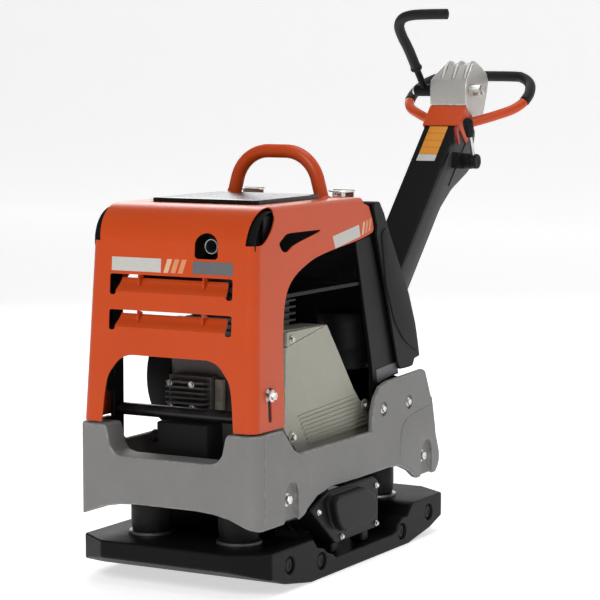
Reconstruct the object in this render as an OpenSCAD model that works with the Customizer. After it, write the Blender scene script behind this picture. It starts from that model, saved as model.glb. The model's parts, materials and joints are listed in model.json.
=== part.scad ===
// Reversible vibratory plate compactor.
// Origin: centre of the sole. -Y is the front, +X the machine's left side, +Z up. Millimetres.

/* [Base plate] */
// Width of the sole plate
plate_w = 445; // [443:1:450]
// Length of the sole plate
plate_l = 860; // [856:1:864]
// Height of the two raised ends
plate_end_z = 88; // [87:0.5:89]
// Height of the rail between the raised ends
plate_rail_z = 33; // [30:1:33]

/* [Exciter] */
// Height of both eccentric shafts
exciter_z = 122; // [121.5:0.5:122]
// Distance between the two eccentric shafts
shaft_gap = 100; // [100:1:100]
// Radius of the eccentric weights
weight_r = 40; // [36:1:42]
// Teeth on each timing gear
gear_teeth = 25; // [25:2:25]

/* [Frame] */
// Half width of the cast upper frame
frame_x = 211; // [210:0.5:213]
// Wall thickness of the frame
frame_wall = 12; // [10:1:14]
// Underside of the engine deck
deck_z = 188; // [188:1:190]

/* [Engine] */
// Height of the crankshaft
crank_z = 395; // [390:1:400]
// Radius of the fan cowl
cowl_r = 118; // [110:1:120]
// Radius of the clutch drum
drum_r = 70; // [66:1:72]

/* [Hood] */
// Half width of the hood along its lower edge
hood_x = 204; // [203:0.5:206]
// Height of the hood's lower edge
hood_z = 329; // [328:0.5:331]
// Height of the hood's top
hood_top = 768; // [766:1:770]
// Sheet thickness
sheet = 3; // [2:0.5:3]
// Radius of the bend between front and top
bend_r = 75; // [60:1:80]
// How far the hood slides up on its two pivot bolts
hood_travel = 48; // [40:1:48]

/* [Handle] */
// Slope of the arm above the horizontal
arm_angle = 47; // [44:1:50]
// Half width of the arm
arm_x = 44; // [42:0.5:46]
// Half depth of the arm
arm_half = 31.5; // [28:0.5:32]
// Radius of the travel lever's grip
grip_r = 13; // [11:0.5:14]

/* [Hidden] */
$fn = 48;
fit = 0.05;
plate_side = plate_w / 2;
plate_end = plate_l / 2;
front_shaft_y = -99;
rear_shaft_y = front_shaft_y + shaft_gap;
shaft_r = 15;
crank_r = 20;
crank_y = front_shaft_y;
belt_x = 130;
belt_half = 5.5;
belt_t = 10;
top_belt_r = drum_r - 9;
low_belt_r = 36;
frame_front = -424;
frame_rear = 398;
hood_front = -418;
hood_side_tilt = atan(12 / 361);
hood_rake = atan(23 / 361);
hood_bolt_y = -356;
hood_bolt_z = 399;
guard_x = 182;
bail_y = 27;
bail_foot_x = 111;
bail_foot_z = 758;
bail_r = 15;
bail_lean = 15;
bail_bend = 80;
bail_leg = 49;
bail_seam = 0.05;
pivot_y = 372;
pivot_z = 366;
pin_r = 12;
lever_y = 893;
lever_z = 986;
throttle_y = 838;
throttle_z = 815;
latch_y = 66;
latch_z = 775;
filler_x = -90;
filler_y = -60;

// ---------------------------------------------------------------- helpers

// A box between its lowest and highest corners.
module block(lo, hi) { translate(lo) cube(hi - lo); }

// An outline in the Y-Z plane, extruded along X from x0 to x1.
module x_prism(x0, x1, outline) {
    translate([x0, 0, 0]) rotate([90, 0, 90]) linear_extrude(x1 - x0) polygon(outline);
}

// An outline in the X-Z plane, extruded along Y from y0 to y1.
module y_prism(y0, y1, outline) {
    translate([0, y1, 0]) rotate([90, 0, 0]) linear_extrude(y1 - y0) polygon(outline);
}

// A cylinder along X.
module x_cyl(x0, x1, y, z, r) {
    translate([x0, y, z]) rotate([0, 90, 0]) cylinder(h = x1 - x0, r = r);
}

// A cylinder along Y.
module y_cyl(y0, y1, x, z, r) {
    translate([x, y0, z]) rotate([-90, 0, 0]) cylinder(h = y1 - y0, r = r);
}

// The same shape on the left and on the right.
module both_sides() {
    children();
    mirror([1, 0, 0]) children();
}

// A hexagon head with a washer on a +X face.
module side_bolt(x, y, z, r = 9) {
    x_cyl(x, x + 2, y, z, r * 1.35);
    translate([x + 2, y, z]) rotate([0, 90, 0]) cylinder(h = r * 0.75, r = r, $fn = 6);
}

// An outline and its mirror image across X = 0, as one closed outline.
function mirrored(half) = concat(half, [for (i = [len(half) - 1:-1:0]) [-half[i][0], half[i][1]]]);

// A closed outline shrunk about a point.
function shrunk(outline, centre, k) = [for (p = outline) centre + (p - centre) * k];

// A Catmull-Rom curve through control points, with n steps to a span.
function spline(c, n) = [
    for (i = [0:len(c) - 2], k = [0:n - 1])
        let (a = c[max(i - 1, 0)], b = c[i], d = c[i + 1], e = c[min(i + 2, len(c) - 1)], t = k / n)
        0.5 * (2 * b + (d - a) * t + (2 * a - 5 * b + 4 * d - e) * t * t + (3 * b - a - 3 * d + e) * t * t * t),
    c[len(c) - 1]];

function unit(v) = v / norm(v);

// A round bar swept along points. side is a direction that no stretch of the path runs along.
module swept_bar(path, r, side, n = 12) {
    last = len(path) - 1;
    rings = [for (i = [0:last])
        let (t = unit(path[min(i + 1, last)] - path[max(i - 1, 0)]), u = unit(cross(t, side)), v = cross(t, u))
        for (k = [0:n - 1]) path[i] + r * (cos(360 * k / n) * u + sin(360 * k / n) * v)];
    walls = [for (i = [0:last - 1], k = [0:n - 1])
        [i * n + k, i * n + (k + 1) % n, (i + 1) * n + (k + 1) % n, (i + 1) * n + k]];
    polyhedron(rings, concat([[for (k = [n - 1:-1:0]) k]], walls, [[for (k = [0:n - 1]) last * n + k]]));
}

// The handle's own frame: Y runs up the arm from its pivot, Z is the arm's upper face.
module on_arm() { translate([0, pivot_y, pivot_z]) rotate([arm_angle, 0, 0]) children(); }

// ---------------------------------------------------------------- lower unit

// Lengthwise section of the sole plate, front half mirrored to the rear with a lower ramp.
plate_profile = [[-plate_end, plate_end_z], [-213, plate_end_z], [-195, 67], [-169, 62], [-151, 49],
    [-129, 42], [-117, plate_rail_z], [135, plate_rail_z], [159, 38], [165, 52], [189, 63], [210, 63],
    [230, 83], [247, plate_end_z], [plate_end, plate_end_z], [plate_end, 52], [393, 38], [326, 17],
    [220, 0], [-220, 0], [-326, 17], [-393, 38], [-plate_end, 52]];
// Centres of the extension-plate holes, in Y and Z.
plug_places = [[-310, 53], [-178, 37], [186, 33], [317, 54]];
plug_r = 18;

module base_plate() {
    color("#1b1c1e")
    difference() {
        intersection() {
            x_prism(-plate_side, plate_side, plate_profile);
            linear_extrude(plate_end_z + 1) polygon([
                [-plate_side, 383], [-152, plate_end], [152, plate_end], [plate_side, 383],
                [plate_side, -383], [152, -plate_end], [-152, -plate_end], [-plate_side, -383]]);
        }
        both_sides() for (p = plug_places) x_cyl(plate_side - 12, plate_side + 1, p[0], p[1], plug_r);
    }
}

module plate_plugs() {
    color("#2c2d2f")
    both_sides() for (p = plug_places) x_cyl(plate_side - 12, plate_side - 2, p[0], p[1], 13);
}

// Both shaft centres, in Y and Z.
shaft_places = [[front_shaft_y, exciter_z], [rear_shaft_y, exciter_z]];

module exciter_housing() {
    color("#242527")
    difference() {
        x_prism(-165, 105, [[-117, plate_rail_z], [92, plate_rail_z], [92, 52], [66, 66], [66, 162],
            [50, 180], [-148, 180], [-165, 162], [-165, 70], [-151, 49], [-129, 42]]);
        for (p = shaft_places) {
            x_cyl(-166, -137, p[0], p[1], 55);
            x_cyl(-138, 97, p[0], p[1], 32);
            x_cyl(-117, 77, p[0], p[1], 45);
        }
        x_cyl(96, 106, front_shaft_y, exciter_z, 17);
    }
}

module exciter_bearings() {
    color("silver")
    for (p = shaft_places, x = [-136, 78]) difference() {
        x_cyl(x, x + 18, p[0], p[1], 32);
        x_cyl(x - 1, x + 19, p[0], p[1], shaft_r + fit);
    }
}

// Shaft with its half-moon weight hanging down.
module eccentric_shaft(y, x_end) {
    x_cyl(-162, x_end, y, exciter_z, shaft_r);
    intersection() {
        x_cyl(-112, 72, y, exciter_z, weight_r);
        block([-113, y - weight_r - 1, exciter_z - weight_r - 1], [73, y + weight_r + 1, exciter_z - 4]);
    }
    x_cyl(-112, 72, y, exciter_z, shaft_r + 6);
}

// Spur gear outline: one trapezoid tooth to each pitch, on a pitch radius of half the shaft gap.
function gear_outline(teeth) = [for (i = [0:teeth - 1], c = [[-4.1, -4], [-1.7, 3], [1.7, 3], [4.1, -4]])
    let (a = 360 * i / teeth + c[0], r = shaft_gap / 2 + c[1]) [r * cos(a), r * sin(a)]];

module timing_gear(y) {
    translate([-160, y, exciter_z]) rotate([90, 0, 90]) linear_extrude(20) difference() {
        polygon(gear_outline(gear_teeth));
        circle(shaft_r);
    }
}

module front_eccentric_shaft() { color("#8d9096") eccentric_shaft(front_shaft_y, 150); }
module rear_eccentric_shaft() { color("#8d9096") eccentric_shaft(rear_shaft_y, 95); }
module front_timing_gear() { color("#9a9ca0") timing_gear(front_shaft_y); }
module rear_timing_gear() { color("#9a9ca0") timing_gear(rear_shaft_y); }

// V pulley on X with its groove on the belt's line.
module v_pulley(y, z, r, bore) {
    translate([belt_x, y, z]) rotate([0, 90, 0]) rotate_extrude() polygon([
        [bore, -16], [r, -16], [r, -9.5], [r - 10, -6.5], [r - 10, 6.5], [r, 9.5], [r, 16], [bore, 16]]);
}

module exciter_pulley() { color("#707276") v_pulley(front_shaft_y, exciter_z, low_belt_r + 9, shaft_r); }

// Side cover: flat flange with a raised bulge over the shaft ends, hollow inside.
flange_outline = [[-212, 146], [-104, 58], [87, 60], [87, 160], [65, 174], [-133, 174]];
bulge_outline = [[-143, 155], [-128, 163], [-7, 163], [38, 139], [46, 117], [46, 95], [12, 83],
    [-90, 84], [-110, 92], [-127, 110], [-138, 134]];

module side_cover() {
    difference() {
        union() {
            x_prism(165, 215, flange_outline);
            x_prism(215, 235, bulge_outline);
        }
        x_prism(164, 207, shrunk(flange_outline, [-50, 118], 0.88));
        x_prism(200, 229, shrunk(bulge_outline, [-50, 122], 0.86));
    }
}

module exciter_gear_cover() { color("#1e1f21") mirror([1, 0, 0]) side_cover(); }

module exciter_drive_cover() {
    color("#1e1f21") {
        difference() {
            side_cover();
            block([164, -150, 150], [207, -48, 176]);
        }
        for (y = [-95, 40]) block([170, y, plate_rail_z], [200, y + 30, 66]);
    }
}

module cover_bolts() {
    color("#b9bcc0") {
        both_sides() for (p = [[76, 152], [75, 70], [-80, 69], [-180, 137]]) side_bolt(215, p[0], p[1], 4.5);
        for (p = [[-200, 291], [116, 315]]) side_bolt(165, p[0], p[1], 7);
        side_bolt(167, -208, 493, 6);
    }
}

mount_places = [[-105, -312], [105, -312], [-105, 282], [105, 282]];

module shock_mounts() {
    color("#141414")
    for (p = mount_places) translate([p[0], p[1], plate_end_z + 6]) cylinder(h = deck_z - plate_end_z - 24, r = 42);
}

module shock_mount_plates() {
    color("#8d9096")
    for (p = mount_places, z = [plate_end_z, deck_z - 18]) translate([p[0], p[1], z]) cylinder(h = 6, r = 47);
}

// ---------------------------------------------------------------- upper frame

frame_side = [[frame_front, 325], [-316, 325], [-274, 283], [-260, 269], [67, 269], [70, 311], [83, 339],
    [106, 361], [139, 369], [310, 376], [322, 370], [350, 312], [357, 307], [377, 226], [frame_rear, 177],
    [396, 153], [378, 132], [301, 126], [284, 131], [242, 157], [194, 175], [140, 179], [9, 178],
    [-115, 180], [-175, 170], [-228, 144], [-251, 132], [-404, 132], [frame_front, 142]];
frame_end = mirrored([[frame_x, 380], [frame_x, 134], [187, 142], [147, 157], [110, 164], [70, 167]]);
notch_outline = mirrored([[104, 264], [121, 269], [132, 283], [140, 318], [147, 330]]);
frame_corner = 28;
beam_y = -364;

// Plan view of the frame with rounded corners.
module frame_plan() {
    x = frame_x - frame_corner;
    translate([-x, frame_front]) square([2 * x, frame_rear - frame_front]);
    translate([-frame_x, frame_front + frame_corner])
        square([2 * frame_x, frame_rear - frame_front - 2 * frame_corner]);
    for (sx = [-x, x], sy = [frame_front + frame_corner, frame_rear - frame_corner])
        translate([sx, sy]) circle(frame_corner);
}

// Arched recess around a side bolt, open downwards.
module bolt_recess(y, z) {
    x_cyl(frame_x - 8, frame_x + 1, y, z, 28);
    block([frame_x - 8, y - 28, 100], [frame_x + 1, y + 28, z]);
}

module upper_frame() {
    inner = frame_x - frame_wall;
    color("#7d7d7a")
    difference() {
        intersection() {
            x_prism(-frame_x, frame_x, frame_side);
            y_prism(frame_front - 1, frame_rear + 1, frame_end);
            linear_extrude(400) frame_plan();
        }
        block([-inner, beam_y, deck_z], [inner, 320, 400]);
        block([-inner, -262, 100], [inner, 235, 400]);
        block([-inner, beam_y, 100], [inner, -262, deck_z - 12]);
        block([-inner, 235, 100], [inner, 372, deck_z - 12]);
        block([-inner + 6, frame_front + frame_wall, 100], [inner - 6, beam_y - frame_wall, 250]);
        y_prism(frame_front - 1, beam_y + 1, notch_outline);
        block([-66, 319, 296], [66, frame_rear + 1, 400]);
        both_sides() {
            bolt_recess(-283, 191);
            bolt_recess(326, 189);
            for (y = [119, 240]) x_cyl(frame_x - 4, frame_x + 1, y, 311, 16);
            block([70, 319, deck_z], [inner, 338, 400]);
        }
    }
}

module frame_bolts() {
    color("#b9bcc0")
    both_sides() {
        side_bolt(frame_x - 8, -291, 181, 10);
        side_bolt(frame_x - 8, 316, 180, 10);
        for (y = [119, 240]) side_bolt(frame_x - 4, y, 311, 7);
    }
}

module engine_deck() {
    color("#232426")
    difference() {
        block([-196, beam_y, deck_z], [196, 318, deck_z + 8]);
        block([100, -185, deck_z - 1], [168, -10, deck_z + 9]);
    }
}

// ---------------------------------------------------------------- engine and drive

module engine_block() {
    color("#4a4b4d")
    difference() {
        union() {
            block([-120, -210, deck_z + 8], [88, 10, 470]);
            block([-88, -180, 470], [58, -22, 560]);
            for (z = [480:14:550]) block([-98, -190, z], [68, -12, z + 4]);
        }
        x_cyl(-121, 89, crank_y, crank_z, crank_r + fit);
    }
}

module cylinder_head() {
    color("#5b5c5e") {
        block([-106, -240, 336], [-4, -210, 408]);
        for (z = [340:11:400]) block([-102, -262, z], [-8, -240, z + 4]);
        for (x = [-88, -35], z = [346, 394]) y_cyl(-266, -240, x, z, 7);
    }
}

module fan_cowl() {
    color("#1c1d1f")
    difference() {
        x_cyl(-178, -120, crank_y, crank_z, cowl_r);
        x_cyl(-174, -119, crank_y, crank_z, cowl_r - 6);
        x_cyl(-179, -173, crank_y, crank_z, 45);
        for (a = [0:30:330]) translate([-176, crank_y, crank_z]) rotate([a, 0, 0])
            block([-4, 55, -6], [4, 100, 6]);
    }
}

module crankshaft() { color("#9a9ca0") x_cyl(-170, 152, crank_y, crank_z, crank_r); }

module flywheel_fan() {
    color("#55575a")
    difference() {
        union() {
            x_cyl(-168, -124, crank_y, crank_z, 34);
            x_cyl(-146, -134, crank_y, crank_z, 104);
            for (a = [0:30:330]) translate([-146, crank_y, crank_z]) rotate([a, 0, 0])
                block([-20, 60, -2], [1, 100, 2]);
        }
        x_cyl(-169, -123, crank_y, crank_z, crank_r);
    }
}

module clutch_drum() { color("#66686b") v_pulley(crank_y, crank_z, drum_r, crank_r); }

// Outline of the belt around its two pulleys: an arc over each, joined by straight runs.
function arc_points(centre, r, from, to, n = 16) = [for (i = [0:n])
    let (a = from + (to - from) * i / n) [centre[0] + r * cos(a), centre[1] + r * sin(a)]];
belt_slope = asin((top_belt_r - low_belt_r) / (crank_z - exciter_z));
function belt_loop(grow) = concat(
    arc_points([crank_y, crank_z], top_belt_r + grow, belt_slope, 180 - belt_slope),
    arc_points([front_shaft_y, exciter_z], low_belt_r + grow, 180 - belt_slope, 360 + belt_slope));

module drive_belt() {
    color("#101010")
    translate([belt_x - belt_half, 0, 0]) rotate([90, 0, 90]) linear_extrude(2 * belt_half) difference() {
        polygon(belt_loop(belt_t));
        polygon(belt_loop(0.5));
    }
}

// Cast guard over the drum and belt; its upper front corner is a separate cap.
belt_outline = [[-224, 512], [-51, 508], [-31, 483], [15, 426], [67, 360], [99, 328], [132, 320],
    [143, 258], [138, deck_z + 8], [-178, deck_z + 8], [-182, 257], [-232, 310]];

module belt_cover() {
    color("#a19f92")
    difference() {
        x_prism(100, 165, belt_outline);
        x_prism(99, 159, shrunk(belt_outline, [-60, 370], 0.95));
        block([99, -170, deck_z + 7], [158, -20, 240]);
        x_prism(157, 166, [[-230, 520], [-40, 520], [-40, 511], [-240, 475], [-240, 520]]);
    }
}

module belt_cover_cap() { color("#a19f92") x_prism(159, 167, [[-223, 509], [-62, 508.5], [-224, 480]]); }

module muffler() {
    color("#3a3a3a") {
        x_cyl(12, 160, -255, 640, 44);
        translate([40, -255, 560]) cylinder(h = 50, r = 14);
        block([26, -269, 556], [54, -180, 562]);
    }
}

module tailpipe() {
    color("#2a2a2a")
    difference() {
        union() {
            translate([87, -255, 680]) cylinder(h = 11, r = 15);
            translate([87, -255, 691]) sphere(15);
            y_cyl(-386, -255, 87, 691, 15);
        }
        y_cyl(-387, -270, 87, 691, 13);
        x_cyl(12, 160, -255, 640, 44);
    }
}

module air_cleaner() {
    color("#1f2022") {
        translate([95, 148, 392]) cylinder(h = 108, r = 56);
        translate([95, 148, 500]) cylinder(h = 14, r = 60);
        block([62, 136, deck_z + 8], [96, 160, 392]);
    }
}

module fuel_tank() {
    color("#202123")
    difference() {
        union() {
            block([-166, -255, 600], [0, -12, 728]);
            translate([filler_x, filler_y, 728]) cylinder(h = 9, r = 22);
            for (y = [-240, -30]) block([-172, y, 590], [10, y + 20, 600]);
        }
        block([-162, -251, 604], [-4, -16, 724]);
        translate([filler_x, filler_y, 720]) cylinder(h = 30, r = 17);
    }
}

module fuel_cap() { color("#151515") translate([filler_x, filler_y, 737.3]) cylinder(h = 20, r = 29); }

module battery_box() {
    color("#17181a") {
        block([-72, -345, deck_z + 8], [52, -282, 326]);
        x_cyl(-92, -72, -326, 293, 13);
    }
}

// ---------------------------------------------------------------- guard, bail and covers

// Rear post of the guard frame. It leans with the side panel that covers it.
rear_post = [[58, 744], [93, 744], [93, 676], [160, 373], [160, deck_z + 8], [125, deck_z + 8], [125, 373],
    [58, 676]];

module guard_frame() {
    color("#161719")
    difference() {
        union() {
            both_sides() {
                block([guard_x - 10, -345, deck_z + 8], [guard_x, -310, 744]);
                x_prism(guard_x - 10, guard_x, rear_post);
                x_cyl(guard_x - 10, hood_x - 10, hood_bolt_y, hood_bolt_z, 18);
                block([guard_x - 50, 60, 590], [guard_x - 10, 66, 620]);
            }
            block([-guard_x, -345, 744], [guard_x, 93, 752]);
            block([-guard_x, -300, 582], [guard_x, -290, 590]);
            block([-guard_x, -292, 582], [-guard_x + 16, 70, 590]);
            block([-4, -292, 582], [12, 70, 590]);
            block([-guard_x, 60, 582], [guard_x, 70, 590]);
            both_sides() block([guard_x - 10, -312, 582], [guard_x, 88, 590]);
        }
        translate([filler_x, filler_y, 740]) cylinder(h = 20, r = 34);
    }
}

module crossbar() { color("#202124") x_cyl(10 - guard_x, guard_x - 10, -331, 345, 13); }

// A quarter-like bend that starts at the origin along +Z and turns towards -X.
module bend(radius, r, angle) {
    translate([-radius, 0, 0]) rotate([90, 0, 0]) rotate_extrude(angle = angle) translate([radius, 0]) circle(r);
}

module lifting_bail() {
    arc = 90 - bail_lean;
    reach = bail_foot_x - bail_leg * sin(bail_lean) - bail_bend * (cos(bail_lean) - cos(bail_lean + arc));
    crown = bail_foot_z + bail_leg * cos(bail_lean) + bail_bend * (sin(bail_lean + arc) - sin(bail_lean));
    color("#c04a22") {
        both_sides() {
            block([92, 2, 752], [130, 52, bail_foot_z + 5]);
            translate([bail_foot_x, bail_y, bail_foot_z]) rotate([0, -bail_lean, 0]) {
                translate([0, 0, -1]) cylinder(h = bail_leg + 3, r = bail_r - bail_seam);
                translate([0, 0, bail_leg]) bend(bail_bend, bail_r, arc);
            }
        }
        x_cyl(-reach - 2, reach + 2, bail_y, crown, bail_r - bail_seam);
    }
}

module top_cover() {
    color("#0e0f10")
    difference() {
        block([-125.5, -275, 752], [125.5, -8, 778]);
        block([-122, -272, 751], [122, -11, 774]);
    }
}

module side_panels() {
    color("#2a2b2e")
    both_sides() x_prism(guard_x, guard_x + 4, [[35, 676], [101, 685], [228, 404], [237, 373], [119, 363],
        [107, 421], [59, 593]]);
}

rear_outline = [[112, 690], [115, 702], [106, 727], [97, 749], [103, 757], [127, 757], [148, 732], [161, 709],
    [227, 604], [260, 558], [302, 478], [324, 403], [298, 399], [289, 384], [226, 384], [215, 399], [189, 472]];

module rear_cover() {
    color("#232427")
    difference() {
        x_prism(-196, 196, rear_outline);
        x_prism(-191, 191, [[0, 752], [125, 752], [143, 729], [156, 706], [222, 601], [255, 555], [297, 476],
            [318, 405], [296, 404], [284, 389], [260, 380], [0, 300]]);
    }
}

module latch_keepers() {
    color("#b9bcc0")
    both_sides() block([92, 103, 757], [128, 108, 766]);
}

// ---------------------------------------------------------------- hood

slot_width = 10;
key_r = 14;
// Sheets meet halfway through each other's thickness, so no two faces lie together.
seam = sheet / 2;
bend_y = hood_front + (hood_top - bend_r - hood_z) * tan(hood_rake) + bend_r;
bend_z = hood_top - bend_r;
// Half width of the hood's middle surface at a height above its lower edge.
function hood_half(h) = hood_x - seam - h * tan(hood_side_tilt);

// One side sheet of the hood, flat, in Y and Z above the lower edge. The arch is cut to its rear.
hood_side = concat([[hood_front + seam, 0], [-300, 0], [-296, 140], [-292, 203], [-288, 236], [-269, 276],
    [-240, 296], [-194, 315], [-147, 328], [-72, 339], [27, 350], [98, 365], [106, 373], [98, 397],
    [86, 420], [64, hood_top - hood_z - seam]],
    arc_points([bend_y, bend_z - hood_z], bend_r - seam, 93, 180, 10));
window_outline = [[-301, 366], [-269, 383], [-246, 384], [-127, 383], [-134, 379], [-220, 363], [-246, 357],
    [-269, 346], [-288, 349]];

module hood_side_sheet() {
    translate([hood_x, 0, hood_z]) rotate([0, -hood_side_tilt, 0]) difference() {
        x_prism(-sheet, 0, hood_side);
        x_prism(-sheet - 1, 1, window_outline);
        x_cyl(-sheet - 1, 1, hood_bolt_y, hood_bolt_z - hood_z, key_r);
        x_cyl(-sheet - 1, 1, hood_bolt_y, hood_bolt_z - hood_z - hood_travel, slot_width / 2);
        block([-sheet - 1, hood_bolt_y - slot_width / 2, hood_bolt_z - hood_z - hood_travel],
            [1, hood_bolt_y + slot_width / 2, hood_bolt_z - hood_z]);
    }
}

arch_outline = mirrored([[90, 139], [112, 132], [130, 114], [146, 83], [155, 0], [155, -1]]);
front_h = bend_z - hood_z + seam;

module hood_front_sheet() {
    translate([0, hood_front, hood_z]) rotate([-hood_rake, 0, 0]) difference() {
        y_prism(0, sheet, mirrored([[hood_half(0), 0], [hood_half(front_h), front_h]]));
        y_prism(-1, sheet + 1, arch_outline);
        for (z = [196, 267]) {
            block([-72, -1, z], [72, sheet + 1, z + 26]);
            both_sides() block([80, -1, z], [128, sheet + 1, z + 26]);
        }
        block([54, -1, 337], [108, sheet + 1, 370]);
    }
}

// Quarter bend from the front sheet to the top, with a relief at each upper corner.
module hood_bend() {
    half = hood_half(bend_z - hood_z);
    intersection() {
        difference() {
            x_cyl(-half, half, bend_y, bend_z, bend_r);
            x_cyl(-half - 1, half + 1, bend_y, bend_z, bend_r - sheet);
            both_sides() block([178, hood_front, bend_z + 6], [half + 2, bend_y - 24, hood_top - 5]);
            translate([81, bend_y - bend_r - 1, bend_z - 2]) rotate([-90, 0, 0]) cylinder(h = 9, r = 27);
        }
        y_prism(hood_front, bend_y, mirrored([[half, bend_z], [hood_half(hood_top - hood_z), hood_top + 1]]));
    }
}

module engine_hood() {
    edge = hood_half(hood_top - hood_z);
    color("#c9501f") {
        both_sides() hood_side_sheet();
        hood_front_sheet();
        hood_bend();
        translate([0, 0, hood_top - sheet]) linear_extrude(sheet) {
            polygon([[-edge, bend_y - 1], [edge, bend_y - 1], [edge, -277], [-edge, -277]]);
            for (s = [-1, 1]) polygon([[s * 128, -277.5], [s * edge, -277.5], [s * edge, 62], [s * 119, 62],
                [s * 119, 50], [s * 128, 50]]);
        }
    }
}

module hood_pivot_bolts() {
    color("#b9bcc0")
    both_sides() {
        x_cyl(hood_x - 10, 207, hood_bolt_y, hood_bolt_z, 4);
        side_bolt(207, hood_bolt_y, hood_bolt_z, 9);
    }
}

module hood_pivot_bushes() {
    color("#8d9096")
    both_sides() difference() {
        union() {
            x_cyl(194.4, 206, hood_bolt_y, hood_bolt_z, 4.7);
            x_cyl(194.4, 197.2, hood_bolt_y, hood_bolt_z, 13);
        }
        x_cyl(194, 207, hood_bolt_y, hood_bolt_z, 4 + fit);
    }
}

// Each latch turns on a pin between two ears on the hood and reaches back over the seam.
module latch_bases() {
    color("#b9bcc0")
    both_sides() {
        block([119.5, 54, hood_top], [141, 64, hood_top + 2]);
        for (x = [119.5, 138.5]) block([x, 54, hood_top], [x + 2.5, 72, latch_z + 4]);
        x_cyl(119.5, 141, latch_y, latch_z, 1.5);
    }
}

module latch_lever() {
    difference() {
        union() {
            x_cyl(122.5, 138, latch_y, latch_z, 3.5);
            block([122.5, latch_y, 776], [138, 100, 779]);
        }
        x_cyl(122, 139, latch_y, latch_z, 1.5 + fit);
    }
    block([86, 98, 776], [138, 119, 779]);
    block([86, 115, 762], [138, 118, 777]);
    block([86, 118, 777], [138, 124, 781]);
}

module latch_lever_left() { color("#c8cacd") latch_lever(); }
module latch_lever_right() { color("#c8cacd") mirror([1, 0, 0]) latch_lever(); }

// ---------------------------------------------------------------- handle

module handle_bracket() {
    color("#2a2b2e")
    both_sides() difference() {
        x_prism(48, 62, [[322, 296], [358, 296], [392, 346], [397, 368], [386, 388], [364, 392], [346, 380],
            [322, 330]]);
        x_cyl(47, 63, pivot_y, pivot_z, pin_r);
    }
}

module handle_pivot_pin() {
    color("#b9bcc0") {
        x_cyl(-66, 66, pivot_y, pivot_z, pin_r);
        both_sides() x_cyl(62, 68, pivot_y, pivot_z, 17);
    }
}

// Gusset plates that widen the top of the arm to the rear.
gusset_outline = [[735, 706], [795, 747], [886, 785], [900, 793], [932, 884], [914, 902], [800, 780]];

module handle_arm() {
    color("#26272a")
    difference() {
        union() {
            on_arm() block([-arm_x, 0, -arm_half], [arm_x, 735, arm_half]);
            x_cyl(-arm_x + 0.5, arm_x - 0.5, pivot_y, pivot_z, arm_half - 0.5);
            both_sides() x_prism(arm_x - 7, arm_x - 1, gusset_outline);
        }
        on_arm() block([5 - arm_x, 45, 5 - arm_half], [arm_x - 5, 728, arm_half - 5]);
        x_cyl(-arm_x - 1, arm_x + 1, pivot_y, pivot_z, pin_r + fit);
    }
}

module handle_saddle() {
    color("#c9501f")
    difference() {
        on_arm() block([-49, 700, -arm_half], [49, 764, arm_half + 4]);
        on_arm() block([-arm_x, 690, -arm_half - 1], [arm_x, 735, arm_half]);
        both_sides() x_prism(arm_x - 7, arm_x - 1, gusset_outline);
    }
}

// Side view of the head casting above the saddle.
head_outline = [[868, 949.5], [866, 993], [873, 1013], [902, 1049], [925, 1055], [956, 1044], [986, 1027],
    [996, 1010], [991, 984], [974, 939], [958, 908], [917, 904.5]];

module head_casting() {
    color("#a9aaa6")
    difference() {
        x_prism(-50, 50, head_outline);
        x_cyl(-51, 51, lever_y, lever_z, pin_r + fit);
        for (x = [-22, 16]) block([x, 905, 1046], [x + 6, 1000, 1060]);
    }
}

// The operator's loop lies in a plane that rises to the rear.
loop_rise = 0.68;
function loop_point(x, y) = [x, y, 906 + loop_rise * (y - 895)];
loop_half = [[49, 897], [76, 909], [106, 924], [140, 945], [157, 972], [158, 1000], [146, 1032], [118, 1055],
    [80, 1062]];
loop_side = [0, -0.56, 0.83];

module loop_handle() {
    pts = spline([for (i = [0:4]) loop_point(loop_half[i][0], loop_half[i][1])], 4);
    color("#c9501f") both_sides() swept_bar(pts, 12, loop_side);
}

module loop_grip() {
    right = [for (i = [4:8]) loop_half[i]];
    left = [for (i = [len(right) - 1:-1:0]) [-right[i][0], right[i][1]]];
    color("#161616") swept_bar(spline([for (p = concat(right, left)) loop_point(p[0], p[1])], 4), 13, loop_side);
}

module lever_shaft() {
    color("#c8cacd") {
        x_cyl(-50.4, 50.4, lever_y, lever_z, pin_r);
        x_cyl(50.4, 78, lever_y, lever_z, 15);
        translate([78, lever_y, lever_z]) rotate([0, 90, 0]) cylinder(h = 9, r = 11, $fn = 6);
        x_cyl(-106, -100, lever_y, lever_z, 11);
    }
}

// Cranked lever: up and forward from its hub, then bent across the machine.
lever_lean = atan(51 / 55);
lever_rod = norm([51, 55]);
crank_points = [[-75, lever_y - 51, lever_z + 55], [-75, 800, 1086], [-77, 768, 1118], [-73, 745, 1141],
    [-57, 729, 1158], [-30, 722, 1166], [14, 721, 1168], [70, 721, 1168]];
crank_side = [0, 0.7, 0.71];

module travel_lever() {
    color("#1b1b1c") {
        x_cyl(-100, -50.4, lever_y, lever_z, 15);
        translate([-75, lever_y, lever_z]) rotate([lever_lean, 0, 0]) cylinder(h = lever_rod, r = 8.5);
    }
}

module travel_grip() {
    color("#141414") swept_bar(spline(crank_points, 4), grip_r, crank_side);
}

module throttle_hub() {
    color("#1b1b1c") {
        x_cyl(arm_x, 78, throttle_y, throttle_z, 19);
        x_prism(arm_x, arm_x + 16, [[795, 800], [838, 796], [838, 834], [800, 838]]);
    }
}

// The throttle stands up and leans a little forward from its hub.
throttle_lean = atan(45 / 110);

module throttle_lever() {
    color("#c8cacd") {
        x_cyl(78.4, 96, throttle_y, throttle_z, 18);
        translate([86, throttle_y, throttle_z]) rotate([throttle_lean, 0, 0]) cylinder(h = 66, r = 4.5);
    }
}

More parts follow.
